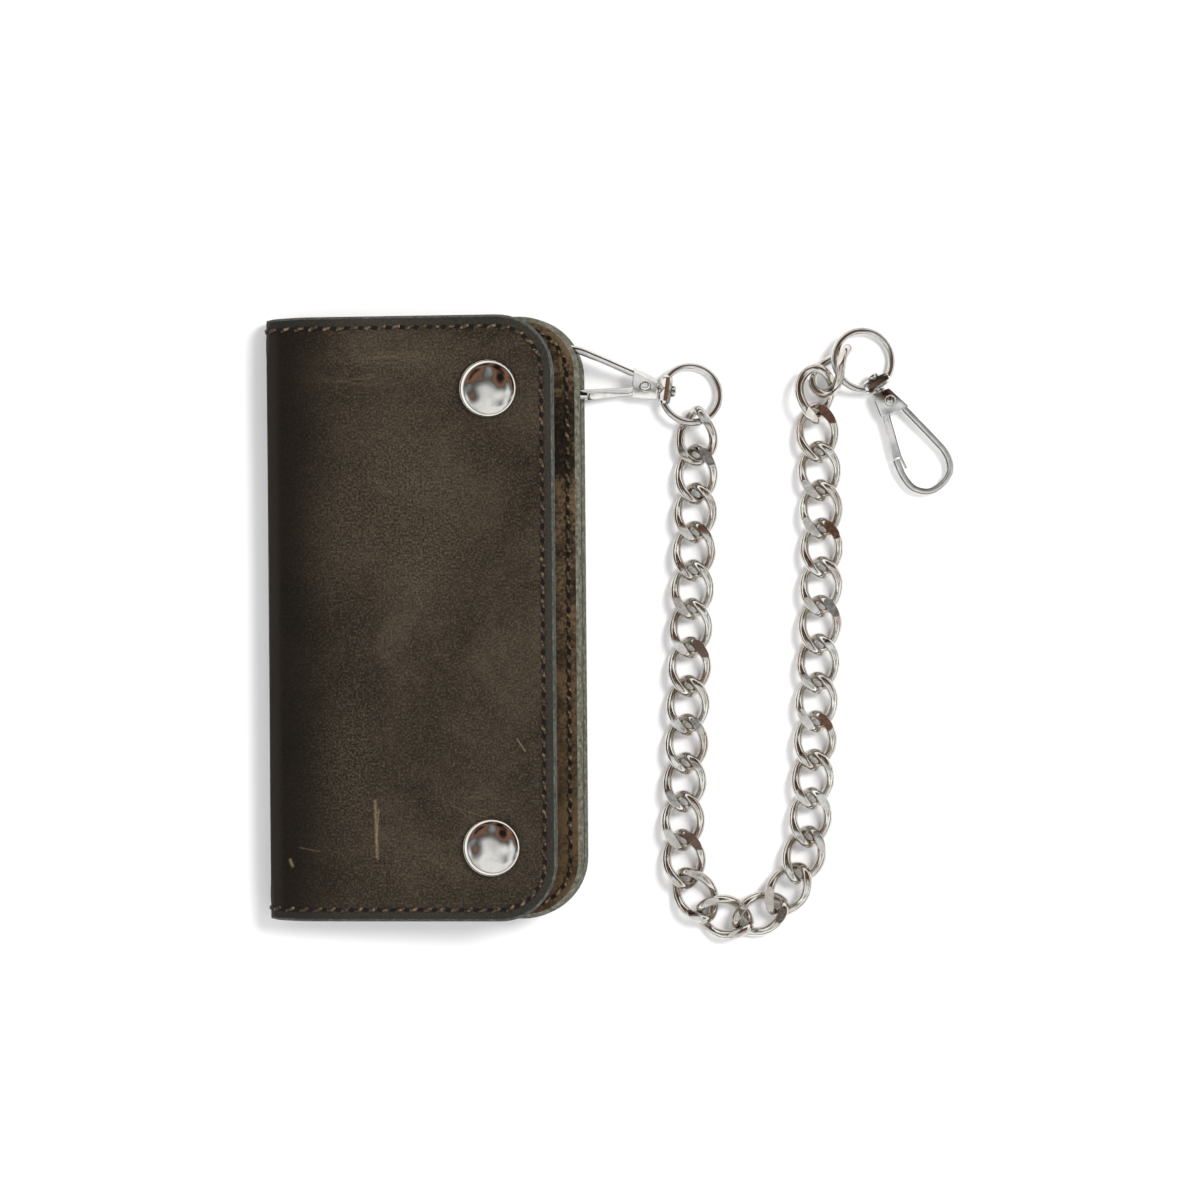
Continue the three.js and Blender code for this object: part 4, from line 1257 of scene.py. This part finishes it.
def addFloor():
    # Matt paper: an even white with a barely visible change of tone.
    look = {
        "noises": {"tone": (1000 / 9, {"Detail": 3})},
        "stops": [(0.3, "#f4f4f4"), (0.7, "#f8f8f8")],
        "shader": {"Roughness": 0.9, "Specular IOR Level": 0.1},
    }
    reach = 3000
    corners = [(-reach, -reach, -0.15), (reach, -reach, -0.15), (reach, reach, -0.15), (-reach, reach, -0.15)]
    meshObject("floor", corners, [(0, 1, 2, 3)], [toned("white_paper_floor", look)])


def addLight(name, light):
    lamp = bpy.data.lights.new(name, "AREA")
    lamp.shape = "DISK"
    lamp.size = light["size"]
    lamp.energy = light["power"]
    made = bpy.data.objects.new(name, lamp)
    made.location = Vector(light["place"]) * mm
    target = Vector((studio["centre"][0], studio["centre"][1], 0)) * mm
    made.rotation_euler = (target - made.location).to_track_quat("-Z", "Y").to_euler()
    made.visible_glossy = light["gloss"]
    bpy.context.scene.collection.objects.link(made)


# A pale room that is darker overhead, so that polished metal shows bright rims and darker tops.
def addWorld():
    world = bpy.data.worlds.new("studio_room")
    bpy.context.scene.world = world
    world.use_nodes = True
    tree = world.node_tree
    tree.nodes.clear()
    place = addNode(tree, "TexCoord").outputs["Generated"]
    apart = addNode(tree, "SeparateXYZ", links={0: place})
    # overhead the room is patchy: dark, coppery and pale, as around a table
    patches = addNode(tree, "TexNoise", {"Scale": 2.3, "Detail": 1, "Roughness": 0.4}, {"Vector": place})
    tilted = addNode(
        tree, "Math", {"operation": "MULTIPLY_ADD", 1: -0.36}, {0: apart.outputs["Y"], 2: patches}
    )
    dark = [(0.3, "#1e1b19"), (0.39, "#7d5a4a"), (0.45, "#544f4c"), (0.53, "#85898d"), (0.66, "#dfe1e3")]
    overhead = addNode(tree, "ValToRGB", {"stops": dark}, {"Fac": tilted})
    rings = [(0.0, "#8a8885"), (0.08, "#2c2a28"), (0.22, "#1b1918"), (0.28, "#ffffff")]
    rings += [(0.5, "#ffffff"), (0.6, "#5a5653")]
    around = addNode(tree, "ValToRGB", {"stops": rings}, {"Fac": apart.outputs["Z"]})
    above = addNode(tree, "MapRange", stretch(0.56, 0.7, soft=True), {"Value": apart.outputs["Z"]})
    both = addNode(tree, "Mix", {"data_type": "RGBA"}, {0: above, 6: around, 7: overhead})
    sky = addNode(tree, "Background", {"Strength": 1.4}, {"Color": both})
    addNode(tree, "OutputWorld", links={"Surface": sky})


def addCamera():
    lens = bpy.data.cameras.new("camera")
    lens.lens = studio["lens"]
    lens.sensor_width = 36
    lens.clip_end = 20
    camera = bpy.data.objects.new("camera", lens)
    distance = studio["lens"] / lens.sensor_width * studio["width"]
    camera.location = Vector((*studio["centre"], studio["height"] + distance)) * mm
    camera.rotation_euler = (0, 0, math.radians(studio["roll"]))
    bpy.context.scene.collection.objects.link(camera)
    bpy.context.scene.camera = camera


addFloor()
addLight("key", studio["key"])
addLight("fill", studio["fill"])
addWorld()
addCamera()
bpy.context.scene.view_settings.view_transform = "Standard"
print("floor, lights and camera")
